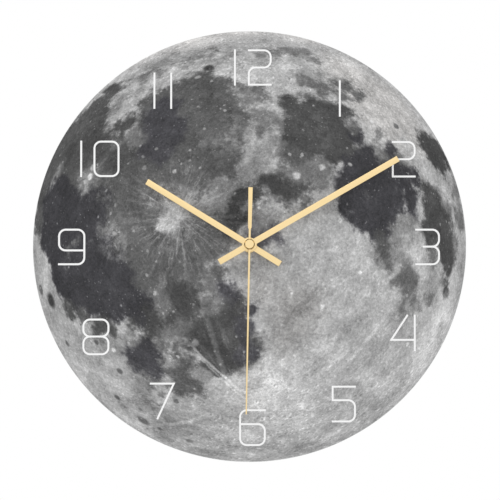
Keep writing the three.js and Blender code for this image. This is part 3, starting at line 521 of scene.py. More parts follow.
# Seas, with ragged shores:
SEA_SHORE = 0.022
SEAS = {
    "cold sea west": (0.49, [
        (56, 0, 2.6), (58, -7, 2.2), (58, -16, 2.4), (56, -22, 3), (54, -30, 2.4), (53, -39, 2),
        (51, -49, 2),
    ]),
    "cold sea east": (0.5, [(54, 12, 2.2), (54, 20, 2.2), (54, 28, 2.4), (53, 35, 2.4), (49, 33, 2)]),
    "rains": (0.36, [
        (32, -16, 14), (45, -5, 3.8), (47, -13, 4), (45.5, -21, 2.8), (42, -30, 4), (21, -9, 4.5),
        (18, -15, 4.5),
    ]),
    "rains west": (0.29, [(33, -24, 6), (38, -25, 5), (27, -26, 5)], COOL),
    "dew": (0.34, [
        (50, -55, 4), (45, -58, 5), (40, -63, 6), (34, -68, 6), (28, -72, 6), (22, -74, 5),
        (16, -74, 4),
    ]),
    "storms north": (0.32, [
        (41, -52, 3.5), (37, -54, 5), (31, -55, 6), (25, -57, 6), (30, -45, 5), (28, -37, 4),
        (22, -38, 6),
    ]),
    "storms": (0.25, [
        (19, -63, 7), (14, -56, 8), (15, -45, 6), (9, -46, 4), (10, -64, 6), (4, -60, 5), (0, -50, 8),
        (1, -40, 8),
    ], COOL),
    "storms south": (0.25, [
        (-5, -54, 4.5), (-6, -46, 6), (-6, -36, 5.5), (-11, -34, 4), (-9, -42, 4.5), (-1, -59, 4.5),
        (-9, -50, 3), (-10.5, -55, 2),
    ], COOL),
    "storms east": (0.37, [(20, -31, 5.5), (16, -25, 5), (11, -32, 7.5), (-2, -28, 6), (3, -30, 6)]),
    "serenity": (0.30, [
        (26.5, 18.5, 8.7), (33, 14.5, 3.4), (29.5, 27, 4), (20.5, 23, 5), (23.5, 12, 3.6),
    ]),
    "tranquility": (0.265, [
        (14, 24.5, 3.8), (9.5, 23, 4.8), (10.5, 30.5, 5.2), (11, 37.5, 4.2), (10.5, 43, 2.4),
        (3, 25.5, 5.4),
    ], COOL),
    "tranquility south": (0.27, [
        (5, 33, 5), (5, 41, 2.4), (17, 29.5, 2.6), (18, 39, 2), (22, 29.5, 1.8), (-1.5, 28, 2.8),
        (2.5, 39.5, 2),
    ], COOL),
    "roughness": (0.38, [(-5, 28.5, 2.2), (-7.5, 29, 1.7), (-10, 30, 1.2)]),
    "crises": (0.29, [(17.5, 58, 4.6), (16.5, 62, 5), (14, 59.5, 4)]),
    "fertility": (0.31, [
        (6, 49, 3), (2, 49, 4.8), (-3, 52.5, 5), (-4.5, 46, 3.8), (-8.5, 53, 4.2), (-13, 55, 3),
        (-18, 54, 2.4),
    ]),
    "nectar": (0.42, [(-14.5, 36, 3.6), (-18, 37, 2.8), (-15, 33, 2)]),
    "nectar bays": (0.48, [
        (-9, 46, 1.8), (-21, 34.5, 1), (-22.5, 41.5, 1), (-10, 46, 1.2), (-20.5, 54.5, 1.4),
        (-21, 46, 1.6),
    ]),
    "serenity south west": (0.38, [(19.5, 9.5, 2), (18, 12.5, 1.8), (18.7, 6.3, 1.8), (21, 6.5, 1.2)]),
    "vapours": (0.28, [
        (12.5, 3.5, 2.8), (11, 6.5, 3), (10.5, 9, 2.2), (11.5, -1, 2.8), (8.8, 4.6, 1.6),
    ]),
    "middle bay": (0.4, [(1.5, -1, 2.2), (4, -4, 2), (0.5, 1.5, 1.4)], COOL),
    "heats": (0.23, [(6.5, -7, 3.5), (10.5, -5, 2.4)]),
    "islands": (0.38, [
        (-4.5, -12.5, 2.6), (-2, -22, 4.6), (-5, -18.5, 3.4), (3.5, -12.5, 3.6), (3, -17, 3.8),
    ]),
    "known sea": (0.29, [
        (-8.5, -23.5, 3.8), (-12, -22, 3.8), (-13.5, -27, 3), (-13.5, -31, 2.8), (-16, -34, 2),
    ]),
    "clouds": (0.30, [
        (-20.5, -20, 4.2), (-19.5, -14, 4.8), (-24, -11.5, 4.8), (-28, -18.5, 4.2), (-17, -19, 3),
        (-14.5, -11, 3.8),
    ]),
    "clouds east": (0.31, [(-19, -9, 2.8), (-9.5, -12, 2.8), (-25.5, -10, 3), (-15, -7, 1.8)], COOL),
    "moisture": (0.275, [(-23.5, -38.5, 4.8), (-26.5, -37, 3), (-22, -41.5, 3), (-25, -43, 2.2)], COOL),
    "epidemics": (0.38, [
        (-32.5, -30.5, 2.2), (-34, -27.5, 1.8), (-30, -31, 2), (-28, -33, 1.6), (-32, -35.5, 1.6),
    ]),
    "dreams": (0.43, [
        (40, 24.5, 2.2), (38, 28, 1.8), (37.5, 36.5, 1.8), (34.5, 38, 1.7), (39.5, 34, 1),
    ]),
    "excellence": (0.44, [
        (-36.5, -44.5, 2.2), (-31, -41.5, 1.8), (-34.5, -39.5, 2.2), (-26, -45.5, 1.4),
    ]),
    "rains far west": (0.3, [(36, -37.5, 3.2), (39, -36, 2.6), (36, -41, 2.6), (33, -38.5, 2.4)]),
    "storms far south": (0.33, [
        (-9, -60, 2.4), (-11, -54, 3), (-13.5, -49, 2.8), (-15.5, -45, 2.4), (-15, -38.5, 2),
    ]),
    "clouds west": (0.37, [(-21.5, -27.5, 2), (-23.5, -27.5, 2.2), (-25.5, -25, 2.2)]),
    "waves": (0.48, [(4.5, 65, 3), (-2, 64, 3), (2, 57, 2)]),
    "serenity east": (0.44, [
        (35.5, 26, 2), (26.5, 29.5, 2), (22.5, 37, 2.2), (36.5, 18.5, 1.4), (34, 32, 1.8),
    ]),
    "decay": (0.45, [(26, 1.5, 1.7), (18, 4.7, 1.7), (9.5, 9.7, 1.5), (31.5, 8.3, 1.4), (15.6, 13, 1)]),
}

# Mountains and plains that stand in or between the seas:
LANDS = {
    "jura": (0.56, [(44, -45, 1.9), (41, -46, 1.2), (47, -42.5, 1.8), (49.5, -37, 1.4)]),
    "caucasus": (0.49, [(37, 2, 3.2), (41, 0.5, 1.7), (32, 5.5, 3.6), (38, 5.5, 2.6), (29.5, 8, 1.7)]),
    "apennines": (0.59, [(22, 3.5, 2.6), (19, 0.5, 2.2), (25, 6, 1.2), (18, -2, 1.5)]),
    "carpathians": (0.52, [(15.5, -8, 0.9), (15, -11, 1.0), (15, -19, 1.2), (15.5, -23, 1.0)]),
    "haemus": (0.49, [(15, 9.5, 1.8), (15.5, 15.5, 1.5), (12.5, 16, 2), (15, 13, 1.5)]),
    "riphaeus": (0.50, [(-7.5, -29, 1.4), (-10, -28.5, 1), (-5.5, -27, 1.1)]),
    "known hills": (0.50, [
        (-8, -15.5, 1.6), (-11, -14.5, 1.6), (-13.5, -14.5, 1.1), (-5.5, -15.5, 1.2),
    ]),
    "clouds south": (0.62, [(-30, -23, 1.5), (-29, -25, 1)]),
    "middle hills": (0.62, [(-4.5, -8.8, 1.8), (-3.5, -7, 1.6), (-6.5, -8, 1.2)]),
    "hercynian": (0.43, [(-20, -31, 1.4), (-23.5, -31, 1.1), (-26.5, -30.5, 1.3), (-15.5, -24.5, 1.5)]),
    "moisture north": (0.52, [(-17, -40.5, 1.7), (-17.5, -42.5, 1.4), (-18.5, -40, 1)]),
    "tranquility shore": (0.60, [
        (-1.5, 36.5, 2.8), (-5, 38, 2.6), (-4.5, 33.5, 2.1), (-8.5, 33, 2.6), (-9, 37.5, 2.2),
    ]),
    "crises west": (0.76, [
        (18.5, 46.5, 1.8), (15, 47.5, 1.7), (11.5, 49.5, 1.7), (8.5, 52, 1.7), (5.5, 56.5, 1.8),
    ]),
}

# Thin bright dust over the seas and uplands, broken into wisps:
DUST_SHORE = 0.06
DUST = {
    "islands north": (0.78, [
        (11.5, -18.5, 2.8), (15.4, -25.3, 2.8), (13.5, -22.5, 2.6), (14, -15, 2.4), (6, -20, 1.6),
    ]),
    "storms": (0.7, [(7.5, -38.5, 2.6), (5, -37.7, 2.4), (10, -37, 1.6)]),
    "storms north": (0.5, [(20, -43, 3), (24, -47, 2.5), (17, -39, 2.5)]),
    "rains east": (0.6, [(26.5, -5.5, 3.2), (25, -2, 3.4), (30, -3.5, 2.4), (26.5, -8.5, 1.8)]),
    "serenity": (0.39, [(27, 18, 5), (22.5, 19, 3.5)]),
    "south": (0.88, [(-36, -5, 5), (-42, -6, 4), (-41, -11, 4)]),
    "far west": (0.90, [(-24.5, -65.5, 2.5), (-22, -67, 2)]),
    "south east": (0.86, [(-28.5, 54.5, 3), (-32, 54.5, 2.5), (-36, 53, 2)]),
    "nectar west": (0.84, [(-14, 25, 2), (-16.5, 27, 2), (-11.5, 16.5, 1.2), (-8, 8.5, 1.2)]),
}

# Small marks: grey, latitude, longitude, radius
MARKS = [
    (0.27, -5.5, -68.5, 1.8), (0.28, 51.8, -9.2, 1.2), (0.42, -43, -57, 1.5), (0.4, -2.5, -74, 1.3),
    (0.42, -46.5, -53, 0.8), (0.42, -34, -59, 0.8), (0.42, -17, -68, 0.8), (0.36, -14, -51.5, 0.7),
    (0.4, -17.5, -53, 0.7), (0.4, -34.5, -27, 0.6), (0.45, -53, -46, 1.0), (0.44, -37, -36, 0.7),
    (0.4, -26, -49.5, 0.8), (0.45, 24, 46, 0.8), (0.45, -38.5, -52.5, 0.6),
    (0.8, 9.6, -20.1, 0.9), (0.72, 8.1, -38, 0.6), (0.84, 23.7, -47.4, 0.8), (0.66, 22.5, -49, 0.6),
    (0.7, 26, -47, 0.8), (0.9, -24.7, -65.3, 0.8), (0.86, 16.1, 46.8, 0.7), (0.82, 14.5, 9.3, 0.9),
    (0.8, 15.6, 16.3, 0.7), (0.62, 15.4, 24, 0.5), (0.62, 20.5, -20.5, 0.5), (0.55, 27.5, -25.5, 0.4),
    (0.5, 26.5, -12.5, 1.0), (0.66, 46, -8.5, 0.4), (0.62, 48.5, -13.5, 0.6), (0.62, 35, -5.5, 0.4),
    (0.52, 23, -29, 0.6), (0.55, 15, -37.5, 0.4), (0.66, 20, 9, 0.4), (0.7, 19.5, 12, 0.4),
    (0.86, 2.5, 17.5, 0.5), (0.9, 26, 37, 0.5), (0.7, -7.5, -29.5, 0.5), (0.6, -3, -30.5, 0.4),
    (0.55, -21, -22.5, 0.9), (0.72, -24, -28.5, 0.4), (0.8, -20, -47.5, 0.6), (0.86, -17, 10.5, 0.5),
    (0.9, -10.5, 21, 0.5), (0.9, -32, 40, 0.6), (0.62, -18.5, 36, 0.4),
]

# Craters with rays: how strong, latitude, longitude, halo, how finely the rays part
RAYED = [
    (0.26, -43.3, -11.4, 66, 11.0), (0.4, 9.6, -20.1, 15, 7.0), (0.3, 9.6, -20.1, 26, 14.0),
    (0.22, 8.1, -38, 11, 8.0), (0.3, 23.7, -47.4, 9, 5.0), (0.2, -24.7, -65.3, 12, 6.0),
    (0.2, -32.5, 54.2, 12, 6.0), (0.26, 16.1, 46.8, 9, 5.0), (0.2, -11.4, 26.4, 9, 6.0),
    (0.14, 26.7, -13.1, 5, 6.0),
]

# Long straight rays: latitude and longitude of both ends, half width, strength
RAYS = [
    (-40, -11.5, -19, -25, 0.3, 0.5), (-41, -12.5, -22, -24, 0.25, 0.4), (-35, 16, -20, 31, 0.55, 0.4),
    (-31, 9, -24, 15, 0.5, 0.25), (-39, 19, -36, 40, 0.6, 0.15), (-45, 26, -35, 46, 0.7, 0.15),
    (-38, 3, -29, 19, 0.6, 0.3), (-35, -5, -26, 2, 0.5, 0.25), (-47, 4, -46, 18, 0.7, 0.3),
    (-45, -50, -43, -26, 0.6, 0.25), (-39, -17, -12, -18, 0.6, 0.2), (-31, 14, -22, 20, 0.4, 0.2),
]
RAY_GREY = 0.95

# Small craters all over, by fineness and depth, and bright specks, by fineness and strength
CRATERS = ((14.0, 0.14), (30.0, 0.2), (62.0, 0.14))
SPECKS = ((18.0, 0.35), (40.0, 0.3))
SPECK_GREY = 0.98

# Noises of the ground: fineness, detail and roughness
COAST = (20.0, 6.0, 0.62)
FINE = (40.0, 4.0, 0.62)
MOTTLE = (8.0, 9.0, 0.66)
WISPS = (22.0, 6.0, 0.7)
GRAIN = (80.0, 4.0, 0.75)
SPECKLE = (150.0, 2.0, 0.7)
STREAKS = (5.0, 0.7)  # without the fineness, which each crater has of its own

# How much they change
COAST_SHIFT = 0.09  # places of the shores
FINE_SHIFT = 0.02  # places of rays, marks and small craters
RAGGED = 0.2  # how far a shore comes and goes
GRAIN_SHARE = 0.8  # brightness
SPECKLE_SHARE = 0.14
GROUND_LIGHT = 0.06  # brightness that is added all over

# Edges: where a thing starts to show and where it shows fully
MARK_EDGE = (1.5, 0.6)  # in radii of the mark
HALO_EDGE = (1.0, 0.1)  # in radii of the halo
RAY_EDGE = (1.8, 0.3)  # in half widths of the ray
RAY_END = (1.0, 0.6)  # in half lengths of the ray
STREAK_EDGE = (0.46, 0.72)  # in the noise's own levels
WISP_EDGE = (0.36, 0.66)
SPECK_EDGE = (0.16, 0.06)  # in sizes of the cells that spread small things out
BOWL_EDGE = (0.32, 0.16)
RIM_EDGE = (0.08, 0.02)

# Small craters: lighting of their walls across and up, their rims, and how they deepen towards the poles
BOWL_LIGHT = (2.2, -1.4, 0.0)
RIM_RADIUS = 0.28
RIM_LIGHT = 0.15
RUGGED_EDGE = (0.4, 0.85)  # in sines of the latitude
RUGGED_DEPTH = 2.4

MOON_TURN = (
    Matrix.Rotation(math.radians(MOON_ROLL), 3, "Z")
    @ Matrix.Rotation(math.radians(MOON_LATITUDE), 3, "X")
    @ Matrix.Rotation(math.radians(-MOON_LONGITUDE), 3, "Y")
)


def on_moon(latitude, longitude):
    """The direction of a place on the Moon, with z towards the viewer."""
    lat, lon = math.radians(latitude), math.radians(longitude)
    level = math.cos(lat)
    return MOON_TURN @ Vector((level * math.sin(lon), math.sin(lat), level * math.cos(lon)))


def chord(degrees):
    """The straight distance, on a sphere of radius 1, across an angle."""
    return 2 * math.sin(math.radians(degrees) / 2)


def tone(grey, tint=PLAIN):
    return shares_of(grey, tint)


def moon_direction(g):
    """The direction from the Moon's middle of the place that the print shows at each point."""
    x, _, z = g.parts(g.scaled(g.place(), 1 / DIAL_RADIUS / MOON_SCALE))
    flat = g.joined(x, z, 0.0)
    square = g.measure("DOT_PRODUCT", flat, flat)
    swell = MOON_BULGE[2]
    for share in (MOON_BULGE[1], MOON_BULGE[0], 1.0):
        swell = g.math("MULTIPLY_ADD", square, swell, share)
    q = g.scaled(flat, swell)
    height = g.math("SQRT", g.math("SUBTRACT", 1.0, g.measure("DOT_PRODUCT", q, q)))
    qx, qy, _ = g.parts(q)
    return g.joined(qx, qy, height)


def shaken(g, place, noise, amount):
    """The place moved about by noise, so that what is drawn there gets a ragged edge."""
    colour = g.noise(place, *noise, "Color")
    shift = g.scaled(g.vector("SUBTRACT", colour, (0.5, 0.5, 0.5)), amount)
    return g.vector("ADD", place, shift)


def cover_of(g, place, circles, shore, ragged):
    """How far each point lies in the joined circles, from 0 outside to 1 inside."""
    field = None
    for latitude, longitude, radius in circles:
        away = g.measure("DISTANCE", place, on_moon(latitude, longitude))
        inside = g.math("SUBTRACT", away, chord(radius))
        field = inside if field is None else g.math("SMOOTH_MIN", field, inside, CIRCLE_BLEND)
    return g.ramp(g.math("ADD", field, ragged), shore, -shore)


def painted(g, colour, place, patches, shore, ragged, share=None):
    """The colour with the patches laid over it one by one, all of them or a share that varies."""
    for grey, circles, *tint in patches.values():
        cover = cover_of(g, place, circles, shore, ragged)
        if share is not None:
            cover = g.math("MULTIPLY", cover, share)
        colour = g.mix_colour(cover, colour, tone(grey, *tint))
    return colour


def marked(g, colour, place):
    """The colour with the small marks laid over it."""
    for grey, latitude, longitude, radius in MARKS:
        away = g.measure("DISTANCE", place, on_moon(latitude, longitude))
        spot = g.ramp(away, *shares_of(chord(radius), MARK_EDGE))
        colour = g.mix_colour(spot, colour, tone(grey))
    return colour


def spokes(g, place, crater, halo, fineness):
    """Rays that leave a crater, from 0 to 1, fading towards the edge of its halo."""
    out = g.vector("SUBTRACT", place, crater)
    spread = g.noise(g.vector("NORMALIZE", out), fineness, *STREAKS)
    streak = g.ramp(spread, *STREAK_EDGE)
    fade = g.ramp(g.measure("LENGTH", out), *shares_of(chord(halo), HALO_EDGE))
    return g.math("MULTIPLY", fade, streak)


def long_ray(g, place, start, end, width):
    """One straight ray between two places, from 0 to 1."""
    across = start.cross(end).normalized()
    aside = g.math("ABSOLUTE", g.measure("DOT_PRODUCT", place, across))
    line = g.ramp(aside, *shares_of(chord(width), RAY_EDGE))
    reach = (end - start).length / 2
    along = g.ramp(g.measure("DISTANCE", place, (start + end) / 2), *shares_of(reach, RAY_END))
    return g.math("MULTIPLY", line, along)


def rayed(g, colour, place):
    """The colour with all rays laid over it."""
    bright = tone(RAY_GREY)
    for strength, latitude, longitude, halo, fineness in RAYED:
        ray = spokes(g, place, on_moon(latitude, longitude), halo, fineness)
        colour = g.mix_colour(g.math("MULTIPLY", ray, strength), colour, bright)
    for lat_a, lon_a, lat_b, lon_b, width, strength in RAYS:
        ray = long_ray(g, place, on_moon(lat_a, lon_a), on_moon(lat_b, lon_b), width)
        colour = g.mix_colour(g.math("MULTIPLY", ray, strength), colour, bright)
    return colour


def craters(g, place, scale):
    """Small craters, as a change of brightness: a lit and a shaded wall in each bowl, and a bright rim."""
    cells = g.cells(place, scale)
    out = g.vector("SUBTRACT", place, cells["Position"])
    slope = g.measure("DOT_PRODUCT", out, shares_of(scale, BOWL_LIGHT))
    bowl = g.math("MULTIPLY", slope, g.ramp(cells["Distance"], *BOWL_EDGE))
    rim = g.ramp(g.math("ABSOLUTE", g.math("SUBTRACT", cells["Distance"], RIM_RADIUS)), *RIM_EDGE)
    return g.math("MULTIPLY_ADD", rim, RIM_LIGHT, bowl)


def texture(g, place, mottle):
    """What the small shapes of the ground do to its brightness. Craters crowd towards the poles."""
    grain = g.noise(place, *GRAIN)
    total = g.math("MULTIPLY_ADD", grain, GRAIN_SHARE, g.math("ADD", mottle, GROUND_LIGHT))
    rugged = g.math("ABSOLUTE", g.measure("DOT_PRODUCT", place, on_moon(90, 0)))
    for scale, depth in CRATERS:
        share = g.ramp(rugged, *RUGGED_EDGE, depth, depth * RUGGED_DEPTH)
        total = g.math("MULTIPLY_ADD", craters(g, place, scale), share, total)
    return total


def moon_print():
    """The printed Moon, from the widest changes of its grey down to the finest grain."""
    g = Finish("moon_print", roughness=0.5, specular_ior_level=0.2)
    place = moon_direction(g)
    coast = shaken(g, place, COAST, COAST_SHIFT)
    fine = shaken(g, place, FINE, FINE_SHIFT)
    mottle = g.noise(place, *MOTTLE)
    ragged = g.math("MULTIPLY_ADD", mottle, RAGGED, -RAGGED / 2)
    wisps = g.ramp(g.noise(fine, *WISPS), *WISP_EDGE)
    colour = painted(g, tone(HIGHLAND), place, UPLANDS, UPLANDS_SHORE, ragged)
    colour = painted(g, colour, coast, BASINS, BASINS_SHORE, ragged)
    colour = painted(g, colour, coast, SEAS, SEA_SHORE, ragged)
    colour = painted(g, colour, coast, LANDS, SEA_SHORE, ragged)
    colour = painted(g, colour, coast, DUST, DUST_SHORE, ragged, wisps)
    colour = rayed(g, colour, fine)
    colour = marked(g, colour, fine)
    for scale, strength in SPECKS:
        dots = g.ramp(g.cells(fine, scale)["Distance"], *SPECK_EDGE)
        colour = g.mix_colour(g.math("MULTIPLY", dots, strength), colour, tone(SPECK_GREY))
    lit = g.scaled(colour, texture(g, fine, mottle))
    speckle = g.math("MULTIPLY_ADD", g.noise(place, *SPECKLE), SPECKLE_SHARE, -SPECKLE_SHARE / 2)
    lit = g.vector("ADD", lit, g.joined(speckle, speckle, speckle))
    g.set("Base Color", g.add("Gamma", {"Color": lit, "Gamma": PRINT_GAMMA}).outputs[0])
    g.bump(g.noise(g.place(), 2500.0, 3.0), 0.02 * MM, 0.3)
    return g.material


# Other finishes


def ink():
    g = Finish("white_ink", roughness=0.55, specular_ior_level=0.3)
    speck = g.noise(g.place(), 1800.0, 3.0)
    g.paint(speck, tone(0.95), tone(1.0))
    g.bump(speck, 0.02 * MM, 0.4)
    return g.material


def acrylic():
    """Cast acrylic with a white ground behind the print, and faint scuffs."""
    g = Finish("dial_acrylic", specular_ior_level=0.5, coat_weight=0.3, coat_roughness=0.08)
    place = g.place()
    cloud = g.noise(place, 14.0, 4.0)
    scuff = g.noise(g.vector("MULTIPLY", place, (1.0, 1.0, 9.0)), 260.0, 6.0, 0.7)
    g.paint(cloud, (0.66, 0.67, 0.68), (0.78, 0.78, 0.77))
    g.set("Roughness", g.ramp(scuff, 0.4, 0.7, 0.16, 0.34))
    g.bump(scuff, 0.01 * MM, 0.3)
    return g.material


def gold(name, grain_of):
    """Pale gold over fine tool marks that the given function lays along or round the piece, with painted
    shade: walls that face sideways are painted dark brown."""
    g = Finish(name, metallic=1.0)
    marks = g.noise(grain_of(g), 4500.0, 4.0, 0.7)
    cloud = g.noise(g.place(), 60.0, 3.0)
    shade = g.math("MULTIPLY_ADD", marks, 0.6, g.math("MULTIPLY", cloud, 0.4))
    face = g.mix_colour(shade, (0.90, 0.69, 0.36), (0.98, 0.77, 0.43))
    # Painted shade: where the surface turns sideways, as on the walls of the hands and the cap, the gold is
    # painted dark brown
    flatness = g.math("ABSOLUTE", g.parts(g.add("NewGeometry", {}).outputs["Normal"])[1])
    g.paint(g.ramp(flatness, 0.3, 0.8), (0.34, 0.19, 0.05), face)
    g.set("Roughness", g.ramp(marks, 0.3, 0.7, 0.26, 0.42))
    g.bump(marks, 0.004 * MM, 0.4)
    return g.material


def brushed_hand(node):
    """Gold brushed from the hand's tail to its tip."""
    tip = max((v.co for v in NODES[node].data.vertices), key=lambda point: math.hypot(point.x, point.z))
    angle = math.atan2(tip.x, tip.z)

    def grain_of(g):
        inputs = {"Vector": g.place(), "Axis": (0.0, 1.0, 0.0), "Angle": -angle}
        return g.vector("MULTIPLY", g.add("VectorRotate", inputs).outputs[0], (1.0, 1.0, 0.04))

    return gold("gold_" + node, grain_of)


def turned_gold():
    """Gold with fine rings round the hands' axis."""

    def grain_of(g):
        x, y, z = g.parts(g.place())
        return g.joined(g.measure("LENGTH", g.joined(x, z, 0.0)), y, 0.0)

    return gold("gold_hands", grain_of)


def metal(name, dark, light, fineness, rough):
    """Bare metal with tool marks and a slightly uneven tarnish."""
    g = Finish(name, metallic=1.0)
    place = g.place()
    marks = g.noise(g.vector("MULTIPLY", place, (1.0, 12.0, 1.0)), fineness, 5.0, 0.7)
    tarnish = g.noise(place, 180.0, 4.0)
    g.paint(tarnish, dark, light)
    g.set("Roughness", g.ramp(marks, 0.3, 0.7, rough - 0.08, rough + 0.1))
    g.bump(marks, 0.006 * MM, 0.5)
    return g.material


def moulded(name, dark, light, grain, rough, depth):
    """Moulded plastic or rubber with a fine sparked grain."""
    g = Finish(name, specular_ior_level=0.4)
    place = g.place()
    pits = g.cells(place, grain)["Distance"]
    cloud = g.noise(place, 120.0, 4.0)
    g.paint(cloud, dark, light)
    g.set("Roughness", g.ramp(g.noise(place, 700.0, 4.0), 0.3, 0.7, rough - 0.07, rough + 0.1))
    g.bump(pits, depth, 0.6)
    return g.material


def sleeve():
    """Shiny printed film: slate, with a pale band and a plus sign towards the positive end."""
    g = Finish("cell_jacket", coat_weight=0.4, coat_roughness=0.12, specular_ior_level=0.5)
    place = g.place()
    x, _, z = g.parts(place)
    grain = g.noise(place, 900.0, 3.0)
    slate = g.mix_colour(grain, (0.045, 0.075, 0.11), (0.07, 0.105, 0.145))
    from_end = g.math("SUBTRACT", CELL_RIGHT, x)
    aside = g.math("ABSOLUTE", g.math("SUBTRACT", from_end, SLEEVE_BAND))
    band_share = g.ramp(aside, SLEEVE_BAND_HALF + SIGN_BLUR, SLEEVE_BAND_HALF - SIGN_BLUR)
    across_x = g.math("ABSOLUTE", g.math("SUBTRACT", from_end, SLEEVE_SIGN))
    across_z = g.math("ABSOLUTE", g.math("SUBTRACT", z, (cell_low.z + cell_high.z) / 2))
    bars = []
    for along, beside in ((across_x, across_z), (across_z, across_x)):
        past_end = g.math("SUBTRACT", along, SIGN_SIZE / 2)
        bars.append(g.math("MAXIMUM", past_end, g.math("SUBTRACT", beside, SIGN_BAR)))
    plus_share = g.ramp(g.math("MINIMUM", *bars), SIGN_BLUR, -SIGN_BLUR)
    pale = g.mix_colour(grain, (0.55, 0.56, 0.56), (0.64, 0.65, 0.64))
    g.paint(g.math("MAXIMUM", band_share, plus_share), slate, pale)
    g.set("Roughness", g.ramp(grain, 0.3, 0.7, 0.26, 0.38))
    g.bump(grain, 0.01 * MM, 0.3)
    return g.material


# Bare metals: darkest and lightest colour, fineness of the marks, roughness
METALS = {
    "turned_brass": ((0.62, 0.43, 0.17), (0.80, 0.60, 0.29), 900.0, 0.3),
    "spring_steel": ((0.52, 0.53, 0.55), (0.70, 0.71, 0.72), 1400.0, 0.28),
    "soft_iron": ((0.30, 0.31, 0.32), (0.42, 0.43, 0.44), 1600.0, 0.4),
    "copper_wire": ((0.52, 0.21, 0.08), (0.68, 0.32, 0.14), 2200.0, 0.3),
}

# Plastics and rubber: darkest and lightest colour, fineness of the grain, roughness, depth of the grain
PLASTICS = {
    "gasket_rubber": (tone(0.012), tone(0.03), 2200.0, 0.8, 0.02 * MM),
    "case_plastic": ((0.010, 0.010, 0.011), (0.022, 0.022, 0.024), 3200.0, 0.5, 0.02 * MM),
    "wheel_plastic": ((0.74, 0.74, 0.70), (0.84, 0.84, 0.80), 2600.0, 0.45, 0.005 * MM),
    "magnet": ((0.03, 0.028, 0.03), (0.07, 0.065, 0.07), 2400.0, 0.6, 0.02 * MM),
    "board_laminate": ((0.02, 0.12, 0.05), (0.04, 0.18, 0.08), 1800.0, 0.45, 0.01 * MM),
    "chip_resin": (tone(0.008), tone(0.02), 2000.0, 0.55, 0.02 * MM),
}

# The finish of each slot
FINISHES = {"dial_acrylic": acrylic(), "gold_hands": turned_gold(), "cell_jacket": sleeve()}
FINISHES.update({name: metal(name, *look) for name, look in METALS.items()})
FINISHES.update({name: moulded(name, *look) for name, look in PLASTICS.items()})


# Dial


def dial_disc():
    """The acrylic disc behind the film, with its back edge rounded and its front edge just broken."""
    front = DIAL_FRONT + FILM
    loop = [(DIAL_BORE, DIAL_BACK)]
    back_corner = (DIAL_RADIUS - BACK_EDGE, DIAL_BACK - BACK_EDGE)
    loop += reversed(rounded(back_corner, BACK_EDGE, 0))
    front_corner = (DIAL_RADIUS - FRONT_EDGE, front + FRONT_EDGE)
    loop += reversed(rounded(front_corner, FRONT_EDGE, 270))
    loop.append((DIAL_BORE, front))
    disc = turned("dial_disc", loop, segments=DIAL_SEGMENTS)
    smooth_by_angle(disc)
    stand_for(disc, "dial_plate")


def film_uv(mesh, radius):
    """A flat map: the printed face fills the picture, and the hidden faces lie small in one corner."""
    layer = mesh.uv_layers.new(name="OFBake")
    for face in mesh.polygons:
        middle, size = PRINT_MAP if face.normal.y < -0.5 else HIDDEN_MAP
        for corner in face.loop_indices:
            point = mesh.vertices[mesh.loops[corner].vertex_index].co
            layer.data[corner].uv = (middle + size * point.x / radius, middle + size * point.z / radius)


def dial_print():
    radius = DIAL_RADIUS - FRONT_EDGE
    back = DIAL_FRONT + FILM
    loop = [(DIAL_BORE, back), (radius, back), (radius, DIAL_FRONT), (DIAL_BORE, DIAL_FRONT)]
    film = turned("dial_print", loop, segments=DIAL_SEGMENTS)
    smooth_by_angle(film)
    film_uv(film.data, radius)
    added(film, "movement", moon_print())


# Numerals

# Each digit's width along the middle of its strokes, in millimetres
DIGIT_WIDTH = {"0": 16.7, "1": 0, "2": 15.2, "3": 15.7, "4": 16.3, "5": 15.4, "6": 17.0, "7": 15.9,
               "8": 17.3, "9": 17.5}

# Strokes of each digit, from 0 to 1 across and up. An R marks a rounded corner, and a ring is closed.
R = "R"
RING = "ring"
STROKES = {
    "0": [(RING, (0, 0, R), (1, 0, R), (1, 1, R), (0, 1, R))],
    "1": [((0, 0), (0, 1))],
    "2": [((0, 1), (1, 1, R), (1, 0.5, R), (0, 0.5, R), (0, 0), (1, 0))],
    "3": [((0, 1), (1, 1, R), (1, 0.51, R), (0.32, 0.51)), ((0, 0), (1, 0, R), (1, 0.51, R), (0.32, 0.51))],
    "4": [((0.68, 1), (0, 0.3), (1, 0.3)), ((1, 0), (1, 1))],
    "5": [((1, 1), (0, 1), (0, 0.61), (1, 0.61, R), (1, 0, R), (0, 0))],
    "6": [((1, 1), (0, 1, R), (0, 0, R), (0.6, 0)), ((0.4, 0), (1, 0, R), (1, 0.6, R), (0, 0.6))],
    "7": [((0, 1), (1, 1), (0.3, 0))],
    "8": [
        (RING, (0, 0, R), (1, 0, R), (1, 0.51, R), (0, 0.51, R)),
        (RING, (0, 0.51, R), (1, 0.51, R), (1, 1, R), (0, 1, R)),
    ],
    "9": [((0, 0), (1, 0, R), (1, 1, R), (0.4, 1)), ((0.6, 1), (0, 1, R), (0, 0.4, R), (1, 0.4))],
}

# Each hour's digits, each with its middle across and up from the hands' axis, in millimetres
NUMERALS = {
    1: [("1", 62.74, 102.76)],
    2: [("2", 107.0, 60.26)],
    3: [("3", 123.4, -0.95)],
    4: [("4", 106.15, -60.75)],
    5: [("5", 65.14, -110.08)],
    6: [("6", 2.05, -126.41)],
    7: [("7", -60.26, -107.97)],
    8: [("8", -106.2, -63.5)],
    9: [("9", -123.15, -0.95)],
    10: [("1", -116.77, 60.55), ("0", -99.22, 60.55)],
    11: [("1", -66.05, 108.27), ("1", -54.4, 108.27)],
    12: [("1", -10.12, 124.52), ("2", 7.13, 124.52)],
}


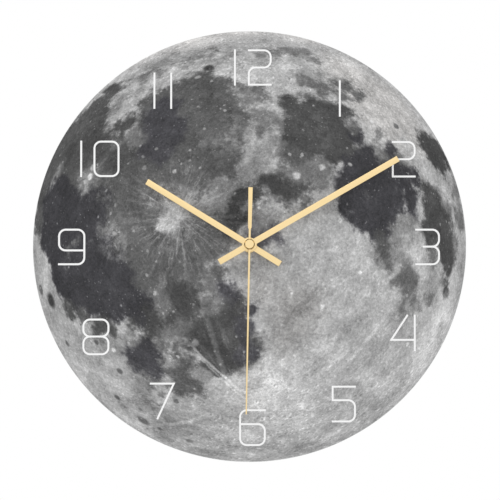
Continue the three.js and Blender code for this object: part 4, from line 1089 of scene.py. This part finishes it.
def stroke_path(digit, stroke, middle, closed):
    """A stroke's points on the dial, each with the radius of its corner. Free ends run on by half the
    stroke's width, so that strokes that meet there fill the corner."""
    size = Vector((DIGIT_WIDTH[digit] * MM, DIGIT_HEIGHT))
    points = [middle + Vector(((x - 0.5) * size.x, (z - 0.5) * size.y)) for x, z, *_ in stroke]
    if not closed:
        for end, before in ((0, 1), (-1, -2)):
            points[end] += (points[end] - points[before]).normalized() * STROKE / 2
    radii = [DIGIT_CORNER if corner else 0 for _, _, *corner in stroke]
    return [(point.x, point.y, radius) for point, radius in zip(points, radii)]


def numeral(hour, digits, material):
    name = f"numeral_{hour}"
    bands = []
    for digit, x, z in digits:
        for stroke in STROKES[digit]:
            closed = stroke[0] == RING
            corners = stroke[1:] if closed else stroke
            path = stroke_path(digit, corners, Vector((x, z)) * MM, closed)
            bands.append(band(name, path, STROKE, DIAL_FRONT, DIAL_FRONT - INK, closed))
    first, *others = bands
    if others:
        combine(first, others, "UNION")
    first.name = name
    added(first, "movement", material)


# Cap of the second hand


def second_cap():
    """The turned cap: a slightly domed face and a steep edge, over a blind hole for the arbor."""
    low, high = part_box("second_hand_cap")
    radius = high.x
    face = radius - CAP_EDGE
    hole = bore_of("second_hand")
    roof = low.y + CAP_WALL
    rim = low.y + CAP_DOME + CAP_EDGE * CAP_SLOPE
    shares = [step / CAP_STEPS for step in range(CAP_STEPS + 1)]
    dome = [(face * share, low.y + CAP_DOME * share**2) for share in shares]
    loop = dome + [(radius, rim), (radius, high.y), (hole, high.y), (hole, roof), (0, roof)]
    cap = turned("second_hand_cap_finished", loop)
    smooth_by_angle(cap, CAP_SHARP)
    stand_for(cap, "second_hand_cap")


# Dial fastening


def dial_nut():
    """The hexagon nut, with its corners turned off at both faces."""
    low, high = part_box("hex_nut")
    corner = max(high.x, high.z)
    slope = math.tan(math.radians(NUT_CHAMFER))
    face = corner * math.cos(math.pi / 6) * NUT_FACE - PAST / slope
    outside = corner + PAST
    back, front = high.y + PAST, low.y - PAST
    reach = (outside - face) * slope
    loop = [(0, front), (face, front), (outside, front + reach)]
    loop += [(outside, back - reach), (face, back), (0, back)]
    stand_for(carved(copied("hex_nut"), [turned("turning", loop)], "INTERSECT"), "hex_nut")


def dial_bush():
    """The bush with a thread along its barrel."""
    low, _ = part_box("threaded_bush")
    crest = bore_of("hex_nut") - THREAD_PLAY + THREAD_FLAT
    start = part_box("dial_washer")[1].y
    front = low.y - PAST
    count = int((start - front) / THREAD_PITCH)
    end = front + count * THREAD_PITCH
    loop = [(crest + THREAD_PITCH, front)]
    for turn in range(count):
        along = front + turn * THREAD_PITCH
        loop += [(crest, along), (crest - THREAD_DEPTH, along + THREAD_PITCH / 2)]
    loop += [(crest, end), (crest + THREAD_PITCH, end)]
    stand_for(carved(copied("threaded_bush"), [turned("thread", loop)]), "threaded_bush")


# Dry cell and coil, both turned about an axis that runs across the clock


def across(node):
    """Places points round the middle line of a CAD piece that lies across the clock."""
    low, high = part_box(node)
    middle = (low + high) / 2

    def place(radius, angle, along):
        return Vector((along, middle.y + radius * math.sin(angle), middle.z + radius * math.cos(angle)))

    return place


def on_cell(name, loop, slot):
    piece = turned(name, loop, across("dry_cell"))
    smooth_by_angle(piece)
    return added(piece, BODY_OF["dry_cell"], FINISHES[slot])


def cell_can():
    """The plated can: a pressed base, a crimp round the other end and the button."""
    base_inner, base_outer = shares_of(CAN_FLAT, BASE_SHARES)
    crimp_outer, crimp_inner = shares_of(CAN_FLAT, CRIMP_SHARES)
    sunk = CAN_RIGHT - CELL_STEP
    loop = [(0, CELL_LEFT), (base_inner, CELL_LEFT), (base_outer, CAN_LEFT)]
    loop += rounded((CAN_FLAT, CAN_LEFT + CELL_CORNER), CELL_CORNER, 270)
    loop += rounded((CAN_FLAT, CAN_RIGHT - CELL_CORNER), CELL_CORNER, 0)
    loop += [(crimp_outer, CAN_RIGHT), (crimp_inner, sunk), (CELL_BUTTON + CELL_STEP, sunk)]
    loop += [(CELL_BUTTON, CAN_RIGHT)]
    loop += rounded((CELL_BUTTON - CELL_STEP, CELL_RIGHT - CELL_STEP), CELL_STEP, 0)
    loop += [(0, CELL_RIGHT)]
    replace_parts(on_cell("cell_can", loop, "spring_steel"), "dry_cell")


def cell_seal():
    """The insulating ring round the button."""
    back = CELL_SHOULDER - SEAL_BACK
    front = CELL_SHOULDER - SEAL_FRONT
    inner = CELL_BUTTON + SEAL_GAP
    outer = CAN_FLAT * SEAL_SHARE
    loop = [(inner, back), (outer, back), (outer, front - SEAL_EDGE), (outer - SEAL_EDGE, front)]
    loop += [(inner + SEAL_EDGE, front), (inner, front - SEAL_EDGE)]
    on_cell("cell_seal", loop, "gasket_rubber")


def cell_sleeve():
    """The printed film that is shrunk over the can and curls in over both ends."""
    lip = CAN_FLAT - SLEEVE_LIP
    left = (CAN_FLAT, CAN_LEFT + CELL_CORNER)
    right = (CAN_FLAT, CAN_RIGHT - CELL_CORNER)
    outer = CELL_CORNER + CELL_FILM
    loop = [(lip, CAN_LEFT - CELL_FILM)]
    loop += rounded(left, outer, 270) + rounded(right, outer, 0)
    loop += [(lip, CAN_RIGHT + CELL_FILM), (lip, CAN_RIGHT)]
    loop += reversed(rounded(left, CELL_CORNER, 270) + rounded(right, CELL_CORNER, 0))
    loop += [(lip, CAN_LEFT)]
    on_cell("cell_sleeve", loop, "cell_jacket")


def coil():
    """The winding: the outer layer of its wire as close turns round the bobbin."""
    low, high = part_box("coil_winding")
    axis_y, axis_z = (low.y + high.y) / 2, (low.z + high.z) / 2
    inner = min(math.hypot(v.co.y - axis_y, v.co.z - axis_z) for v in NODES["coil_winding"].data.vertices)
    outer = (high.z - low.z) / 2
    count = round((high.x - low.x) / COIL_WIRE)
    pitch = (high.x - low.x) / count
    loop = [(inner, high.x), (inner, low.x), (outer - pitch / 2, low.x)]
    for turn in range(count):
        start = low.x + turn * pitch
        for share, height in WIRE_PROFILE:
            loop.append((outer - pitch / 2 * (1 - height), start + share * pitch))
    winding = turned("coil_winding_finished", loop, across("coil_winding"), COIL_SEGMENTS)
    stand_for(winding, "coil_winding")


# Back of the movement


def arc_points(middle, radius, start, end):
    """Points of an arc seen from the front, with angles in degrees from three o'clock towards twelve."""
    angles = [math.radians(start + (end - start) * step / ARC_STEPS) for step in range(ARC_STEPS + 1)]
    return [(middle.x + radius * math.cos(a), middle.z + radius * math.sin(a), 0) for a in angles]


def turn_arrow(middle, radius, start, end):
    """An engraved arrow that runs round the knob, as tools that cut the line and the head."""
    line = band("mark", arc_points(middle, radius, start, end), MARK_STROKE, -MARK_DEPTH, MARK_DEPTH)
    ahead = math.copysign(ARROW_LENGTH / radius, end - start)
    angle = math.radians(end)
    corners = [(radius - ARROW_HALF, angle), (radius + ARROW_HALF, angle), (radius, angle + ahead)]
    outline = [(middle.x + r * math.cos(a), middle.z + r * math.sin(a)) for r, a in corners]
    return [line, prism("mark", outline, -MARK_DEPTH * MARK_DEEPER, MARK_DEPTH * MARK_DEEPER)]


def sign(x, z, upright):
    """A polarity sign: a bar, and another across it for plus."""
    half = SIGN_SIZE / 2
    bars = [[(x - half, z, 0), (x + half, z, 0)]]
    if upright:
        bars.append([(x, z - half, 0), (x, z + half, 0)])
    depths = (MARK_DEPTH, MARK_DEPTH * MARK_DEEPER)
    return [band("mark", points, MARK_STROKE, -deep, deep) for points, deep in zip(bars, depths)]


def panel(left, right, bottom, top):
    """A shallow sunk field with round corners."""
    corners = [(left, bottom, PANEL_CORNER), (right, bottom, PANEL_CORNER)]
    corners += [(right, top, PANEL_CORNER), (left, top, PANEL_CORNER)]
    outline = [(point.x, point.y) for point in filleted(corners, True)]
    return prism("mark", outline, -PANEL_DEPTH, PANEL_DEPTH)


def cover():
    """The back cover, with arrows round the knob, signs at the ends of the cell and a bare sunk field."""
    low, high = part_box("back_cover")
    knob_low, knob_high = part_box("setting_knob")
    knob = (knob_low + knob_high) / 2
    ring = (knob_high.x - knob_low.x) / 2 + ARROW_AWAY
    tools = [tool for start, end in ARROWS for tool in turn_arrow(knob, ring, start, end)]
    height = low.z + SIGN_AWAY
    tools += sign(high.x - SIGN_AWAY, height, True) + sign(low.x + SIGN_AWAY, height, False)
    top = high.z - PANEL_AWAY
    tools.append(panel(low.x + PANEL_AWAY, high.x - PANEL_AWAY, top - PANEL_HEIGHT, top))
    stand_for(carved(round_edges(copied("back_cover"), CASE_EDGE), tools), "back_cover")


def knob():
    """The ridged setting knob, with a dished face."""
    low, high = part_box("setting_knob")
    middle = (low + high) / 2
    radius = (high.x - low.x) / 2 * KNOB_DISH

    def about_knob(out, angle, along):
        return middle + Vector((out * math.sin(angle), along - middle.y, out * math.cos(angle)))

    bottom = high.y - KNOB_DISH_DEPTH
    top = high.y + KNOB_DISH_DEPTH
    wide, narrow = radius * (1 + KNOB_DISH_SLOPE), radius * (1 - KNOB_DISH_SLOPE)
    dish = turned("dish", [(0, top), (wide, top), (narrow, bottom), (0, bottom)], about_knob, KNOB_SEGMENTS)
    stand_for(carved(round_edges(copied("setting_knob"), KNOB_EDGE), [dish]), "setting_knob")


# Building


def dress_nodes():
    """Gives every CAD piece that still shows the finish of its slot."""
    for name, node in NODES.items():
        if not node.hide_render:
            wear(node, FINISHES[SLOT_OF[name]])


dial_disc()
dial_print()
white = ink()
for hour, digits in NUMERALS.items():
    numeral(hour, digits, white)
for node in ("hour_hand", "minute_hand", "second_hand"):
    soften(node, HAND_EDGE, brushed_hand(node))
second_cap()
for node in ("movement_case", "wall_hanger"):
    soften(node, CASE_EDGE)
for node in ("rubber_gasket", "dial_washer", "positive_contact", "negative_contact"):
    soften(node, SMALL_EDGE)
dial_nut()
dial_bush()
cell_can()
cell_seal()
cell_sleeve()
coil()
cover()
knob()
dress_nodes()


# Stage


def world_light():
    """White to the camera and in reflections, and a plain level of light on the object."""
    world = bpy.data.worlds.new("studio")
    bpy.context.scene.world = world
    world.use_nodes = True
    g = Nodes(world.node_tree)
    path = g.add("LightPath", {}).outputs
    seen = path["Is Camera Ray"]
    for kind in ("Is Glossy Ray", "Is Transmission Ray"):
        seen = g.math("MAXIMUM", seen, path[kind])
    background = g.nodes["Background"].inputs
    g.feed(background["Color"], (1, 1, 1))
    g.feed(background["Strength"], g.ramp(seen, 0, 1, WORLD_LEVEL, 1))


def key_light():
    lamp = bpy.data.lights.new("key", "AREA")
    lamp.size = KEY_SIZE
    lamp.energy = KEY_POWER
    obj = make_object("key", lamp)
    obj.location = KEY_PLACE
    obj.rotation_euler = (-Vector(KEY_PLACE)).to_track_quat("-Z", "Y").to_euler()


def floor():
    loop = [(0, 0), (FLOOR_RADIUS, 0), (FLOOR_RADIUS, FLOOR_THICKNESS), (0, FLOOR_THICKNESS)]
    low = -DIAL_RADIUS - FLOOR_DROP

    def about_upright(radius, angle, along):
        return Vector((radius * math.cos(angle), radius * math.sin(angle), low - along))

    plate = turned("floor", loop, about_upright)
    g = Finish("pale_floor", roughness=0.7, specular_ior_level=0.2)
    g.paint(g.noise(g.place(), 6.0, 3.0), tone(0.86), tone(0.9))
    wear(plate, g.material)


def camera():
    lens = bpy.data.cameras.new("camera")
    lens.sensor_width = SENSOR
    lens.lens = SENSOR * CAMERA_DISTANCE / VIEW_WIDTH
    obj = make_object("camera", lens)
    drop = math.radians(CAMERA_DROP)
    away = Vector((0, -math.cos(drop), -math.sin(drop)))
    obj.location = Vector((VIEW_CENTRE[0], DIAL_FRONT, VIEW_CENTRE[1])) + away * CAMERA_DISTANCE
    obj.rotation_euler = (-away).to_track_quat("-Z", "Y").to_euler()
    bpy.context.scene.camera = obj


world_light()
key_light()
floor()
camera()
bpy.context.scene.view_settings.view_transform = "Standard"
